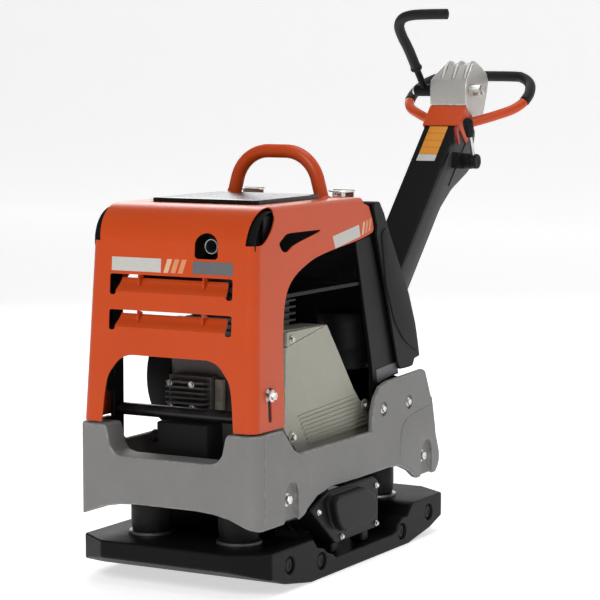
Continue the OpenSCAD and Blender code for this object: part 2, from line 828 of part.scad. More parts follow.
module throttle_knob() {
    color("#141414") translate([86, throttle_y, throttle_z]) rotate([throttle_lean, 0, 0]) {
        translate([0, 0, 66]) cylinder(h = 12, r1 = 9, r2 = 12.5);
        translate([0, 0, 78]) cylinder(h = 24, r = 12.5);
        translate([0, 0, 102]) sphere(12.5);
    }
}

module lock_lever() {
    color("#b8281c") {
        x_cyl(49.3, 56, 806, 892, 8);
        x_prism(49.3, 55, [[799, 889], [813, 889], [824, 858], [815, 855]]);
    }
}

// ---------------------------------------------------------------- drawing

base_plate();
plate_plugs();
exciter_housing();
exciter_gear_cover();
exciter_drive_cover();
cover_bolts();
exciter_bearings();
front_eccentric_shaft();
front_timing_gear();
exciter_pulley();
rear_eccentric_shaft();
rear_timing_gear();
shock_mounts();
shock_mount_plates();
upper_frame();
frame_bolts();
engine_deck();
engine_block();
cylinder_head();
fan_cowl();
crankshaft();
flywheel_fan();
clutch_drum();
drive_belt();
belt_cover();
belt_cover_cap();
muffler();
tailpipe();
air_cleaner();
fuel_tank();
fuel_cap();
battery_box();
crossbar();
guard_frame();
lifting_bail();
top_cover();
side_panels();
rear_cover();
latch_keepers();
hood_pivot_bolts();
hood_pivot_bushes();
engine_hood();
latch_bases();
latch_lever_left();
latch_lever_right();
handle_bracket();
handle_pivot_pin();
handle_arm();
handle_saddle();
head_casting();
loop_handle();
loop_grip();
lever_shaft();
travel_lever();
travel_grip();
throttle_hub();
throttle_lever();
throttle_knob();
lock_lever();
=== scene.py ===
import json
from math import atan, cos, pi, radians, sin, tan

import bmesh
import bpy
import numpy as np
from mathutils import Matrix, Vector
from mathutils.geometry import delaunay_2d_cdt


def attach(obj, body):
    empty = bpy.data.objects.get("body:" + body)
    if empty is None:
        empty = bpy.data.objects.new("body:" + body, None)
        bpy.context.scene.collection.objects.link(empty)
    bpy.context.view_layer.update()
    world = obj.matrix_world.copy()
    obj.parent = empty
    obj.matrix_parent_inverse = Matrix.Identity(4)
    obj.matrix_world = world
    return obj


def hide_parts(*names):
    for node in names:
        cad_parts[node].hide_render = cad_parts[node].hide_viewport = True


bl_info = {
    "name": "Vibratory Plate Compactor",
    "version": (1, 0, 0),
    "blender": (4, 5, 0),
    "location": "View3D > Sidebar > Compactor",
    "description": "Builds the finished surfaces of a plate compactor around its CAD frame",
    "category": "Add Mesh",
}

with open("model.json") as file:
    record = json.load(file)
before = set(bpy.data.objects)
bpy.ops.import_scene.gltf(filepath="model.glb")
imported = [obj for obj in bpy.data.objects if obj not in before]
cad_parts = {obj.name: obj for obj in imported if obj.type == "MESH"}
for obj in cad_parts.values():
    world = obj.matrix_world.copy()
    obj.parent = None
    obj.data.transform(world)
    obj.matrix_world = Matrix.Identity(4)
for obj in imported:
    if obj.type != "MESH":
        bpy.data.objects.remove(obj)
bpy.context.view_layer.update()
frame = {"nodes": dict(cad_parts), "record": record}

MM = 0.001
RECORD = frame["record"]
BODY_OF = {n: b for b, nodes in RECORD["behaviour"]["bodies"].items() for n in nodes}
SLOT_OF = {s["node"]: s["material_slot"] for s in RECORD["subparts"]}
JOINT_AT = {j["name"]: np.round(np.array(j["pos_m"]) / MM, 3)
            for j in RECORD["behaviour"]["joints"] if j.get("pos_m")}
X_AXIS, Z_AXIS = (1, 0, 0), (0, 0, 1)


# ------------------------------------------------------------------ shader helpers

class Field:
    """A shader value. Arithmetic on it adds Math nodes to its tree."""

    def __init__(self, tree, socket):
        self.tree = tree
        self.socket = socket

    def math(self, operation, *values, clamp=False):
        node = self.tree.nodes.new("ShaderNodeMath")
        node.operation = operation
        node.use_clamp = clamp
        for socket, value in zip(node.inputs, values):
            plug(self.tree, socket, value)
        return Field(self.tree, node.outputs[0])

    def __add__(self, other):
        return self.math("ADD", self, other)

    def __sub__(self, other):
        return self.math("SUBTRACT", self, other)

    def __mul__(self, other):
        return self.math("MULTIPLY", self, other)

    def __radd__(self, other):
        return self.math("ADD", other, self)

    def __rsub__(self, other):
        return self.math("SUBTRACT", other, self)

    def __rmul__(self, other):
        return self.math("MULTIPLY", other, self)

    def ramp(self, low, high):
        """The part between low and high, stretched to run from 0 to 1 and held there outside it."""
        return self.math("MULTIPLY", self - low, 1 / (high - low), clamp=True)


def plug(tree, socket, value):
    """Links a field, or sets a plain value."""
    if isinstance(value, Field):
        tree.links.new(value.socket, socket)
    elif isinstance(value, (tuple, list)) and socket.type == "RGBA":
        socket.default_value = (*value[:3], 1.0)
    else:
        socket.default_value = value


class Finish:
    """One material: a Principled surface whose sockets are fed by fields."""

    def __init__(self, name):
        self.material = bpy.data.materials.new(name)
        self.material.use_nodes = True
        self.tree = self.material.node_tree
        self.surface = self.tree.nodes["Principled BSDF"]
        self.place = self.add("ShaderNodeTexCoord", out="Object")

    def add(self, kind, out=0, settings=None, **values):
        """Adds a node. settings are its properties, and values go to its sockets by name."""
        node = self.tree.nodes.new(kind)
        for key, value in (settings or {}).items():
            setattr(node, key, value)
        for key, value in values.items():
            plug(self.tree, node.inputs[key.replace("_", " ")], value)
        return Field(self.tree, node.outputs[out])

    def noise(self, scale, detail=3.0, roughness=0.5):
        """Fractal noise on Object coordinates. scale is in cells to a metre."""
        return self.add("ShaderNodeTexNoise", Vector=self.place, Scale=scale, Detail=detail,
                        Roughness=roughness)

    def cells(self, scale):
        """Distance to the nearest of many scattered points. scale is in points to a metre."""
        return self.add("ShaderNodeTexVoronoi", Vector=self.place, Scale=scale)

    def edge(self):
        """1 on the rounded edges of a piece and 0 on its faces."""
        return self.add("ShaderNodeAttribute", out="Fac", settings={"attribute_name": "edge"})

    def blend(self, factor, first, second):
        """Colour first where factor is 0, and second where it is 1."""
        node = self.tree.nodes.new("ShaderNodeMix")
        node.data_type = "RGBA"
        for index, value in ((0, factor), (6, first), (7, second)):
            plug(self.tree, node.inputs[index], value)
        return Field(self.tree, node.outputs[2])

    def bump(self, height, depth, strength=1.0):
        """A Bump node. depth is the height of the relief in metres."""
        return self.add("ShaderNodeBump", Height=height, Distance=depth, Strength=strength)

    def set(self, **values):
        """Feeds the surface's sockets by name and returns the finished material."""
        for key, value in values.items():
            plug(self.tree, self.surface.inputs[key.replace("_", " ")], value)
        return self.material


def tint(colour, factor):
    """A lighter or darker shade of a colour."""
    return tuple(min(1.0, c * factor) for c in colour)


# ------------------------------------------------------------------ finishes

def powder_coat(name, colour, rough=0.33, coat=0.15, dust=0.25, shine=0.5):
    """Powder coat: fine orange peel, faint tone drift, lighter worn edges and patches of dust."""
    f = Finish(name)
    drift = f.noise(5, 4)
    peel = f.noise(700, 2)
    # Lighter rounded edges: part paint wear, part a painted highlight along the edges.
    wear_and_highlight = f.edge() * f.noise(120, 5, 0.65).ramp(0.52, 0.66)
    dirt = f.noise(18, 6, 0.7).ramp(0.5, 0.8) * dust
    base = f.blend(drift, tint(colour, 0.90), tint(colour, 1.08))
    base = f.blend(dirt * 0.35, base, (0.23, 0.19, 0.15))
    base = f.blend(wear_and_highlight * 0.55, base, tint(colour, 1.6))
    return f.set(Base_Color=base, Roughness=rough + 0.10 * drift + 0.30 * dirt, Coat_Weight=coat,
                 Coat_Roughness=0.25, Specular_IOR_Level=shine, Normal=f.bump(peel, 0.00006, 0.5))


def sand_casting(name, colour, grain=0.0004, rough=0.6, mottle=0.16, metal=0.0, shine=0.4):
    """Painted or raw casting: sand grain in two sizes, pits, mottled tone and brighter rubbed edges."""
    f = Finish(name)
    coarse = f.noise(240, 6, 0.7)
    fine = f.noise(1100, 3)
    patch = f.noise(9, 5, 0.6)
    pits = f.cells(170).ramp(0.02, 0.12)
    # Brighter rounded edges: part rubbed wear, part a painted highlight along the edges.
    rubbed_wear_and_highlight = f.edge() * f.noise(70, 5, 0.6).ramp(0.42, 0.60)
    base = f.blend(patch, tint(colour, 1 - mottle), tint(colour, 1 + mottle))
    base = f.blend(coarse.ramp(0.35, 0.75) * 0.30, base, tint(colour, 0.62))
    base = f.blend(rubbed_wear_and_highlight * 0.6, base, tint(colour, 1.55))
    relief = coarse * 0.7 + fine * 0.3 + pits * 0.25
    return f.set(Base_Color=base, Roughness=rough + 0.14 * patch - 0.12 * rubbed_wear_and_highlight, Metallic=metal,
                 Specular_IOR_Level=shine, Normal=f.bump(relief, grain, 0.8))


def moulded(name, colour, rough=0.5, grain=0.00009):
    """Moulded plastic: leather-like spark grain and slight scuffs."""
    f = Finish(name)
    scuff = f.noise(40, 6, 0.75).ramp(0.56, 0.78)
    base = f.blend(f.noise(7, 3), tint(colour, 0.85), tint(colour, 1.2))
    base = f.blend(scuff * 0.25, base, tint(colour, 2.4))
    # Lighter rounded edges: a painted highlight along the edges.
    base = f.blend(f.edge() * 0.30, base, tint(colour, 2.2))
    return f.set(Base_Color=base, Roughness=rough + 0.12 * scuff, Specular_IOR_Level=0.15,
                 Normal=f.bump(f.cells(1300) * 0.6 + f.noise(900, 2) * 0.4, grain, 0.6))


def rubbery(name, colour, rough):
    """Rubber: soft sheen, fine pores and a dusty bloom."""
    f = Finish(name)
    bloom = f.noise(26, 5, 0.7).ramp(0.45, 0.8)
    base = f.blend(bloom * 0.35, colour, tint(colour, 3.0))
    return f.set(Base_Color=base, Roughness=rough + 0.2 * bloom, Specular_IOR_Level=0.3,
                 Normal=f.bump(f.noise(1500, 3), 0.00008, 0.5))


def bare_metal(name, colour, rough, tarnish=0.2):
    """Plated or machined metal: fine mottling and a little tarnish."""
    f = Finish(name)
    mottle = f.noise(420, 3, 0.6)
    dull = f.noise(55, 5, 0.65).ramp(0.45, 0.75)
    base = f.blend(dull * tarnish, colour, tint(colour, 0.55))
    # Lighter rounded edges: a painted highlight along the edges.
    base = f.blend(f.edge() * 0.4, base, tint(colour, 1.25))
    return f.set(Base_Color=base, Metallic=1.0, Roughness=rough + 0.16 * mottle + 0.18 * dull,
                 Normal=f.bump(mottle, 0.00004, 0.5))


def print_film(name, colour, rough=0.4):
    """Printed vinyl: an even colour that has faded and scuffed slightly."""
    f = Finish(name)
    base = f.blend(f.noise(60, 4), tint(colour, 0.93), tint(colour, 1.05))
    return f.set(Base_Color=base, Roughness=rough + 0.1 * f.noise(200, 3))


def make_finishes(colours):
    """Every finish by the record's slot name, and the films by their own names."""
    black, orange = tuple(colours.black), tuple(colours.orange)
    return {
        "orange_paint": powder_coat("orange_powder_coat", orange, 0.30, 0.06, 0.2, 0.3),
        "frame_casting": sand_casting("grey_frame_casting", tuple(colours.frame), 0.0008, 0.55),
        "plate_casting": sand_casting("black_plate_casting", tint(black, 0.9), 0.0005, 0.40, 0.3, 0.0, 0.10),
        "guard_casting": sand_casting("light_guard_casting", tuple(colours.guard), 0.0005, 0.62, 0.12),
        "black_paint": powder_coat("black_powder_coat", tint(black, 0.8), 0.36, 0.0, 0.03, 0.13),
        "black_plastic": moulded("black_moulded_plastic", tint(black, 1.3)),
        "gloss_black": powder_coat("gloss_black_lid", tint(black, 0.6), 0.22, 0.1, 0.3, 0.3),
        "zinc": bare_metal("zinc_plate", (0.70, 0.70, 0.66), 0.22),
        "steel": bare_metal("machined_steel", (0.50, 0.50, 0.51), 0.26),
        "head_casting": sand_casting("blasted_aluminium", tuple(colours.head), 0.0002, 0.38, 0.06, 0.75),
        "engine_casting": sand_casting("engine_casting_metal", (0.17, 0.17, 0.165), 0.0005, 0.5, 0.2, 0.6),
        "rubber": rubbery("black_rubber", (0.008, 0.008, 0.008), 0.5),
        "lock_red": powder_coat("red_tab", (0.42, 0.02, 0.015), 0.4, 0.1, 0.1),
        "pale_film": print_film("pale_film", (0.62, 0.60, 0.56)),
        "grey_film": print_film("grey_film", (0.14, 0.14, 0.15)),
        "amber_film": print_film("amber_film", (0.80, 0.30, 0.02)),
        "cream_film": print_film("cream_film", (0.78, 0.50, 0.32)),
        "peach_film": print_film("peach_film", (0.76, 0.30, 0.14)),
        "liner": moulded("dark_liner", (0.004, 0.004, 0.004), 0.7),
        "slate_paint": powder_coat("slate_powder_coat", (0.045, 0.045, 0.048), 0.4, 0.0, 0.1, 0.25),
    }


FINISHES = {}


# ------------------------------------------------------------------ mesh helpers

def add_piece(name, mesh, body, slot, finish=None, replaced=()):
    """Links a finished mesh, gives it its finish and makes it ride on its body. A film has no slot."""
    piece = bpy.data.objects.new(name, mesh)
    bpy.context.scene.collection.objects.link(piece)
    mesh.materials.clear()
    mesh.materials.append(FINISHES[finish or slot])
    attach(piece, body)
    if replaced:
        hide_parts(*replaced)
    return piece


def mesh_from(name, points, faces, smooth=40):
    """A mesh from points in millimetres, with edges sharper than the smooth angle kept sharp."""
    mesh = bpy.data.meshes.new(name)
    mesh.from_pydata((np.asarray(points, float) * MM).tolist(), [], [list(map(int, f)) for f in faces])
    mesh.update()
    mesh.shade_smooth()
    mesh.set_sharp_from_angle(angle=radians(smooth))
    return mesh


def grid_faces(rows, columns, wrap=False):
    """Quads of a grid of points, closed along its columns if wrap is set."""
    i, k = np.meshgrid(np.arange(rows - 1), np.arange(columns if wrap else columns - 1), indexing="ij")
    right = (k + 1) % columns
    here, above = i * columns, (i + 1) * columns
    return np.stack([here + k, here + right, above + right, above + k], -1).reshape(-1, 4)


def capped_rings(rings, sides):
    """Faces of a stack of rings, with a cap at each end."""
    faces = [list(q) for q in grid_faces(rings, sides, wrap=True)]
    return faces + [list(range(sides))[::-1], [(rings - 1) * sides + k for k in range(sides)]]


def closed_sheet(front, back):
    """Two grids of points, one behind the other, joined round their rims."""
    rows, columns = front.shape[:2]
    n = rows * columns
    quads = grid_faces(rows, columns)
    i = np.arange(n).reshape(rows, columns)
    rim = np.concatenate([i[:, 0], i[-1, 1:], i[-2::-1, -1], i[0, -2:0:-1]])
    after = np.roll(rim, -1)
    walls = np.stack([rim, after, after + n, rim + n], -1)
    faces = [list(q) for q in quads] + [list(q[::-1] + n) for q in quads] + [list(q) for q in walls]
    return np.vstack([front.reshape(-1, 3), back.reshape(-1, 3)]), faces


def shifted(faces, start):
    """Faces whose point numbers are raised by start."""
    return [[int(v) + start for v in face] for face in faces]


def joined(parts):
    """Several (points, faces) as one."""
    points, faces, start = [], [], 0
    for p, f in parts:
        points.append(np.asarray(p, float))
        faces += shifted(f, start)
        start += len(p)
    return np.vstack(points), faces


def turned(profile, centre, axis, sides=48, shape=None):
    """A profile of (radius, height) turned about an axis through centre. The radius may be scaled by
    shape(angle, height), which makes a hexagon or a knurl. Both ends are capped."""
    profile = np.asarray(profile, float)
    along = np.asarray(axis, float) / np.linalg.norm(axis)
    side = np.cross(along, [0.0, 0.0, 1.0] if abs(along[2]) < 0.9 else [1.0, 0.0, 0.0])
    side /= np.linalg.norm(side)
    other = np.cross(along, side)
    angle = np.linspace(0, 2 * pi, sides, endpoint=False)
    radius, height = profile[:, :1], profile[:, 1:]
    ring = radius * (shape(angle[None, :], height) if shape else np.ones((1, sides)))
    rings = (centre + height[..., None] * along
             + ring[..., None] * (np.cos(angle)[None, :, None] * side + np.sin(angle)[None, :, None] * other))
    return rings.reshape(-1, 3), capped_rings(len(profile), sides)


def hexagon(angle, height):
    """Radius of a hexagon of unit corner radius."""
    return cos(pi / 6) / np.cos(np.mod(angle, pi / 3) - pi / 6) + 0 * height


def hex_bolt(centre, axis, r):
    """Washer, chamfered hexagon head and the small dish in its top, standing on centre."""
    washer = turned([(0.1, 0), (r * 1.35, 0), (r * 1.35, 1.5), (r * 1.28, 2), (0.1, 2)], centre, axis)
    tall = 2 + r * 0.75
    head = turned([(0.1, 2), (r, 2), (r, tall - 0.18 * r), (r * 0.9, tall), (r * 0.55, tall),
                   (r * 0.5, tall - 0.5), (0.1, tall - 0.5)], centre, axis, 48, hexagon)
    return joined([washer, head])


def smooth_line(controls, steps):
    """A Catmull-Rom curve through control points: each span is the cubic whose end slopes are half the
    chord between the neighbours."""
    c = np.asarray(controls, float)
    p = np.vstack([c[:1], c, c[-1:]])
    t = (np.arange(steps) / steps)[None, :, None]
    a, b, d, e = (p[i:len(c) - 1 + i][:, None, :] for i in range(4))
    curve = 0.5 * (2 * b + (d - a) * t + (2 * a - 5 * b + 4 * d - e) * t**2 + (3 * b - a - 3 * d + e) * t**3)
    return np.vstack([curve.reshape(-1, c.shape[1]), c[-1:]])


def tube(path, radius, side, sides=28, cap=0.35):
    """A round bar swept along a path. Each end closes over a quarter ellipse cap radii deep."""
    path = np.asarray(path, float)
    tangent = np.gradient(path, axis=0)
    tangent /= np.linalg.norm(tangent, axis=1)[:, None]
    turn = np.linspace(pi / 2, 0, 6)[:-1]
    lead = path[0] + (1 - np.sin(turn))[:, None] * cap * radius * tangent[0]
    tail = path[-1] - (1 - np.sin(turn[::-1]))[:, None] * cap * radius * tangent[-1]
    inner = path[1:-1]
    points = np.vstack([lead, inner, tail])
    directions = np.vstack([np.repeat(tangent[:1], len(turn), 0), tangent[1:-1],
                            np.repeat(tangent[-1:], len(turn), 0)])
    radii = np.concatenate([radius * np.cos(turn) + 0.02, np.full(len(inner), radius),
                            radius * np.cos(turn[::-1]) + 0.02])
    u = np.cross(directions, side)
    u /= np.linalg.norm(u, axis=1)[:, None]
    v = np.cross(directions, u)
    angle = np.linspace(0, 2 * pi, sides, endpoint=False)
    ring = np.cos(angle)[None, :, None] * u[:, None, :] + np.sin(angle)[None, :, None] * v[:, None, :]
    cloud = points[:, None, :] + radii[:, None, None] * ring
    return cloud.reshape(-1, 3), capped_rings(len(points), sides)


def facing_out(mesh):
    """Turns every face of closed shells outwards."""
    bm = bmesh.new()
    bm.from_mesh(mesh)
    bmesh.ops.recalc_face_normals(bm, faces=bm.faces)
    bm.to_mesh(mesh)
    bm.free()
    return mesh


def solid_piece(name, shapes, body, slot, finish=None, replaced=(), smooth=40):
    """One piece of closed shapes, each given as (points, faces)."""
    mesh = facing_out(mesh_from(name, *joined(shapes), smooth=smooth))
    return add_piece(name, mesh, body, slot, finish, replaced)


def points_of(mesh):
    """A mesh's points as rows of three."""
    flat = np.empty(3 * len(mesh.vertices), np.float32)
    mesh.vertices.foreach_get("co", flat)
    return flat.reshape(-1, 3)


def reach(face, edge):
    """How far a face runs away from one of its edges."""
    start = edge.verts[0].co
    along = (edge.verts[1].co - start).normalized()
    return max((v.co - start).cross(along).length for v in face.verts)


def round_edges(bm, width, angle, segments):
    """Rounds the sharp edges whose faces are wide enough for it. Corners of the new faces carry
    edge = 1, which the finishes read as wear."""
    layer = bm.loops.layers.float.get("edge") or bm.loops.layers.float.new("edge")
    sharp = [e for e in bm.edges if len(e.link_faces) == 2 and e.calc_face_angle(0.0) > radians(angle)
             and all(reach(f, e) > 2.2 * width * MM for f in e.link_faces)]
    made = bmesh.ops.bevel(bm, geom=sharp, offset=width * MM, segments=segments, profile=0.5,
                           affect="EDGES", clamp_overlap=False)
    for face in made["faces"]:
        for loop in face.loops:
            loop[layer] = 1.0


def rounded_node(node, width, name=None, segments=2, reshape=None):
    """A CAD node's merged copy with its sharp edges rounded. reshape moves its points first."""
    mesh = frame["nodes"][node].data.copy()
    bm = bmesh.new()
    bm.from_mesh(mesh)
    bmesh.ops.remove_doubles(bm, verts=bm.verts, dist=2e-5)
    bmesh.ops.dissolve_limit(bm, angle_limit=radians(0.8), verts=bm.verts, edges=bm.edges)
    if reshape:
        bm.to_mesh(mesh)
        mesh.vertices.foreach_set("co", (reshape(points_of(mesh) / MM) * MM).ravel())
        bm.clear()
        bm.from_mesh(mesh)
        bmesh.ops.triangulate(bm, faces=[f for f in bm.faces if len(f.verts) > 4])
    round_edges(bm, width, 28, segments)
    bm.to_mesh(mesh)
    bm.free()
    mesh.shade_smooth()
    mesh.set_sharp_from_angle(angle=radians(40))
    piece = add_piece(name or node + "_casing", mesh, BODY_OF[node], SLOT_OF[node], replaced=[node])
    piece.modifiers.new("even_shading", "WEIGHTED_NORMAL").keep_sharp = True
    return piece


def plain_node(node):
    """A CAD node shown as it is, with its finish."""
    shown = frame["nodes"][node]
    shown.data.materials.clear()
    shown.data.materials.append(FINISHES[SLOT_OF[node]])


def flat_sheet(outline, holes=()):
    """Triangles of a flat outline with holes: a constrained Delaunay triangulation."""
    loops = [np.asarray(loop, float) for loop in (outline, *holes)]
    starts = np.cumsum([0] + [len(loop) for loop in loops])
    edges = [(s + i, s + (i + 1) % len(loop)) for s, loop in zip(starts, loops) for i in range(len(loop))]
    made = delaunay_2d_cdt([Vector(p) for p in np.vstack(loops)], edges, [], 0, 1e-6)
    points, faces = np.array([tuple(v) for v in made[0]]), np.array(made[2])
    middle = points[faces].mean(1)
    kept = inside(middle, loops[0])
    for hole in loops[1:]:
        kept &= ~inside(middle, hole)
    return points, faces[kept].tolist()


def inside(points, loop):
    """Even-odd test: a point is inside if a ray along +X crosses the loop an odd number of times."""
    a, b = loop, np.roll(loop, -1, 0)
    y = points[:, 1][:, None]
    spans = (a[:, 1] > y) != (b[:, 1] > y)
    rise = np.where(b[:, 1] == a[:, 1], 1.0, b[:, 1] - a[:, 1])
    cross = a[:, 0] + (y - a[:, 1]) * (b[:, 0] - a[:, 0]) / rise
    return (spans & (cross > points[:, 0][:, None])).sum(1) % 2 == 1


def soft_block(low, high, corner, edge, crown=0.0):
    """A box whose plan is a rounded rectangle of the given corner radius and whose top and bottom edges
    are rounded. Each level is that rectangle drawn in by edge * (1 - cos a) while the height moves by
    edge * sin a. The top rises by crown at its middle."""
    low, high = np.asarray(low, float), np.asarray(high, float)
    turn = np.linspace(0, pi / 2, 5)
    inset = edge * (1 - np.sin(turn))
    rise = edge * (1 - np.cos(turn))
    insets = np.concatenate([inset, inset[::-1]])
    levels = np.concatenate([low[2] + rise, high[2] - crown - rise[::-1]])
    half = (high[:2] - low[:2]) / 2
    middle = (high[:2] + low[:2]) / 2
    angle = (np.arange(48) + 0.5) * 2 * pi / 48
    quarter = np.stack([np.sign(np.cos(angle)), np.sign(np.sin(angle))], -1)
    arc = np.stack([np.cos(angle), np.sin(angle)], -1)
    plan = quarter * (half - corner) + arc * corner
    rings = middle + plan[None] - insets[:, None, None] * arc[None]
    z = np.broadcast_to(levels[:, None, None], (len(levels), 48, 1))
    points = np.concatenate([rings, z], -1).reshape(-1, 3)
    n = len(levels)
    faces = [list(q) for q in grid_faces(n, 48, wrap=True)]
    faces.append(list(range(48))[::-1])
    if crown:
        top = points[(n - 1) * 48:]
        shrink = np.array([0.8, 0.55, 0.3, 0.12])[:, None, None]
        centre = np.array([*middle, levels[-1]])
        dome = centre + (top - centre)[None] * shrink
        dome[..., 2] += crown * (1 - shrink[..., 0]**2)
        points = np.vstack([points, dome.reshape(-1, 3)])
        faces += [list(q + (n - 1) * 48) for q in grid_faces(5, 48, wrap=True)]
        n += 4
    faces.append([(n - 1) * 48 + k for k in range(48)])
    return points, faces


def placed(shape, degrees, move):
    """A shape turned about X and moved."""
    points, faces = shape
    x, y, z = np.asarray(points, float).T
    c, s = cos(radians(degrees)), sin(radians(degrees))
    return np.stack([x, y * c - z * s, y * s + z * c], -1) + move, faces


def mirrored(shape):
    """The same shape on the other side of X = 0."""
    points, faces = shape
    return np.asarray(points, float) * [-1, 1, 1], [list(f)[::-1] for f in faces]


def both(shapes):
    """Each shape, followed by its mirror image."""
    return [s for shape in shapes for s in (shape, mirrored(shape))]


def ring_of(profile, centre, axis, sides=48):
    """A closed profile of (radius, height) turned about an axis, with a hole along it."""
    profile = np.asarray(profile, float)
    points, faces = turned(profile, centre, axis, sides)
    faces = faces[:-2]
    last = (len(profile) - 1) * sides
    faces += [[last + k, last + (k + 1) % sides, (k + 1) % sides, k] for k in range(sides)]
    return points, faces


def prism(outline, x0, x1):
    """An outline of (y, z) points carried from x0 to x1."""
    outline = np.asarray(outline, float)
    n = len(outline)
    near = np.column_stack([np.full(n, x0), outline])
    far = np.column_stack([np.full(n, x1), outline])
    return np.vstack([near, far]), capped_rings(2, n)


def rounded_loop(corners, radius, steps=5):
    """A closed outline with each corner replaced by a curve that starts and ends radius from it, or
    half way along a side that is too short: a quadratic curve pulled by the corner."""
    c = np.asarray(corners, float)
    before, after = np.roll(c, 1, 0) - c, np.roll(c, -1, 0) - c
    lb, la = np.linalg.norm(before, axis=1)[:, None], np.linalg.norm(after, axis=1)[:, None]
    r = np.broadcast_to(np.asarray(radius, float).reshape(-1, 1), (len(c), 1))
    start = c + before / lb * np.minimum(r, lb * 0.48)
    end = c + after / la * np.minimum(r, la * 0.48)
    t = np.linspace(0, 1, steps)[None, :, None]
    curve = (1 - t)**2 * start[:, None] + 2 * t * (1 - t) * c[:, None] + t**2 * end[:, None]
    return curve.reshape(-1, 2)


def cut_plate(outline, holes, x0, x1):
    """A plate with holes between x0 and x1, from an outline of (y, z) points, and its mirror image."""
    flat, faces = flat_sheet(outline, holes)
    n = len(flat)
    near, far = np.column_stack([np.full(n, x0), flat]), np.column_stack([np.full(n, x1), flat])
    walls, start = [], 0
    for loop in (outline, *holes):
        count = len(loop)
        walls += [[start + k, start + (k + 1) % count, n + start + (k + 1) % count, n + start + k]
                  for k in range(count)]
        start += count
    shape = (np.vstack([near, far]), [f[::-1] for f in faces] + shifted(faces, n) + walls)
    mesh = facing_out(mesh_from("plate", *joined(both([shape]))))
    bm = bmesh.new()
    bm.from_mesh(mesh)
    bmesh.ops.dissolve_limit(bm, angle_limit=radians(0.5), verts=bm.verts, edges=bm.edges)
    bm.to_mesh(mesh)
    bm.free()
    return mesh


def bevelled(mesh, width, angle, segments):
    """Rounds a mesh's sharp edges in place."""
    bm = bmesh.new()
    bm.from_mesh(mesh)
    round_edges(bm, width, angle, segments)
    bm.to_mesh(mesh)
    bm.free()
    mesh.shade_smooth()
    mesh.set_sharp_from_angle(angle=radians(40))
    return mesh


# ------------------------------------------------------------------ hood surface

HOOD_X, HOOD_Z, HOOD_FRONT, HOOD_TOP = 204.0, 329.0, -418.0, 768.0
LEAN, RAKE = atan(12 / 361), atan(23 / 361)
FOLD = 75.0
FOLD_Y, FOLD_Z = -319.65, 693.0
T_FOLD, T_TOP = 369.5, 482.54
CORNER = 22.0
SHOULDER = 12.0
TOP_HALF = 177.8
RELIEF_H = 366.0
SHOULDER_H = HOOD_TOP - SHOULDER - HOOD_Z


def hood_half(h):
    """Half width of the hood's outer face at a height above its lower edge."""
    return HOOD_X - h * tan(LEAN)


def folded(x, t, out=0.0):
    """Folds a flat sheet up the front, round the front bend and back along the top. t is the distance
    along the sheet from its lower edge. The bend is an arc that takes the slope from the rake to level.
    out lifts the point off the outer face."""
    x, t = np.broadcast_arrays(np.asarray(x, float), np.asarray(t, float))
    phi = np.pi - RAKE - np.clip(t - T_FOLD, 0, T_TOP - T_FOLD) / FOLD
    on_front, on_top = t <= T_FOLD, t >= T_TOP
    y = FOLD_Y + FOLD * np.cos(phi)
    z = FOLD_Z + FOLD * np.sin(phi)
    y = np.where(on_front, HOOD_FRONT + t * sin(RAKE), np.where(on_top, FOLD_Y + (t - T_TOP), y))
    z = np.where(on_front, HOOD_Z + t * cos(RAKE), np.where(on_top, HOOD_TOP, z))
    return np.stack([x, y + out * np.cos(phi), z + out * np.sin(phi)], -1)


def side_point(y, h, out=0.0):
    """A point on the left side sheet, which leans in with height."""
    y, h = np.broadcast_arrays(np.asarray(y, float), np.asarray(h, float))
    return np.stack([hood_half(h) + out * cos(LEAN), y, HOOD_Z + h + out * sin(LEAN)], -1)


def slot_outline(half, low, high, dip=7.0, pocket=14.0):
    """A long slot whose two ends dip below its straight lower edge in a small round."""
    return [(-half, high), (-half, low - dip), (-half + pocket, low - dip), (-half + pocket, low),
            (half - pocket, low), (half - pocket, low - dip), (half, low - dip), (half, high)]


LOUVRES = [(195, 229), (266, 301)]
ARCH = [(90, 139), (112, 132), (130, 114), (146, 83), (155, 0)]
SIDE_WINDOW = [(-301, 366), (-269, 383), (-246, 384), (-127, 383), (-134, 379), (-220, 363), (-246, 357),
               (-269, 346), (-288, 349)]
SIDE_ARCH = [(-300, 0), (-297, 100), (-296, 150), (-292, 203), (-284, 243), (-269, 273), (-240, 296),
             (-194, 315), (-147, 328), (-72, 339), (27, 350), (90, 361), (104, 368), (104, 381), (98, 397),
             (86, 420)]


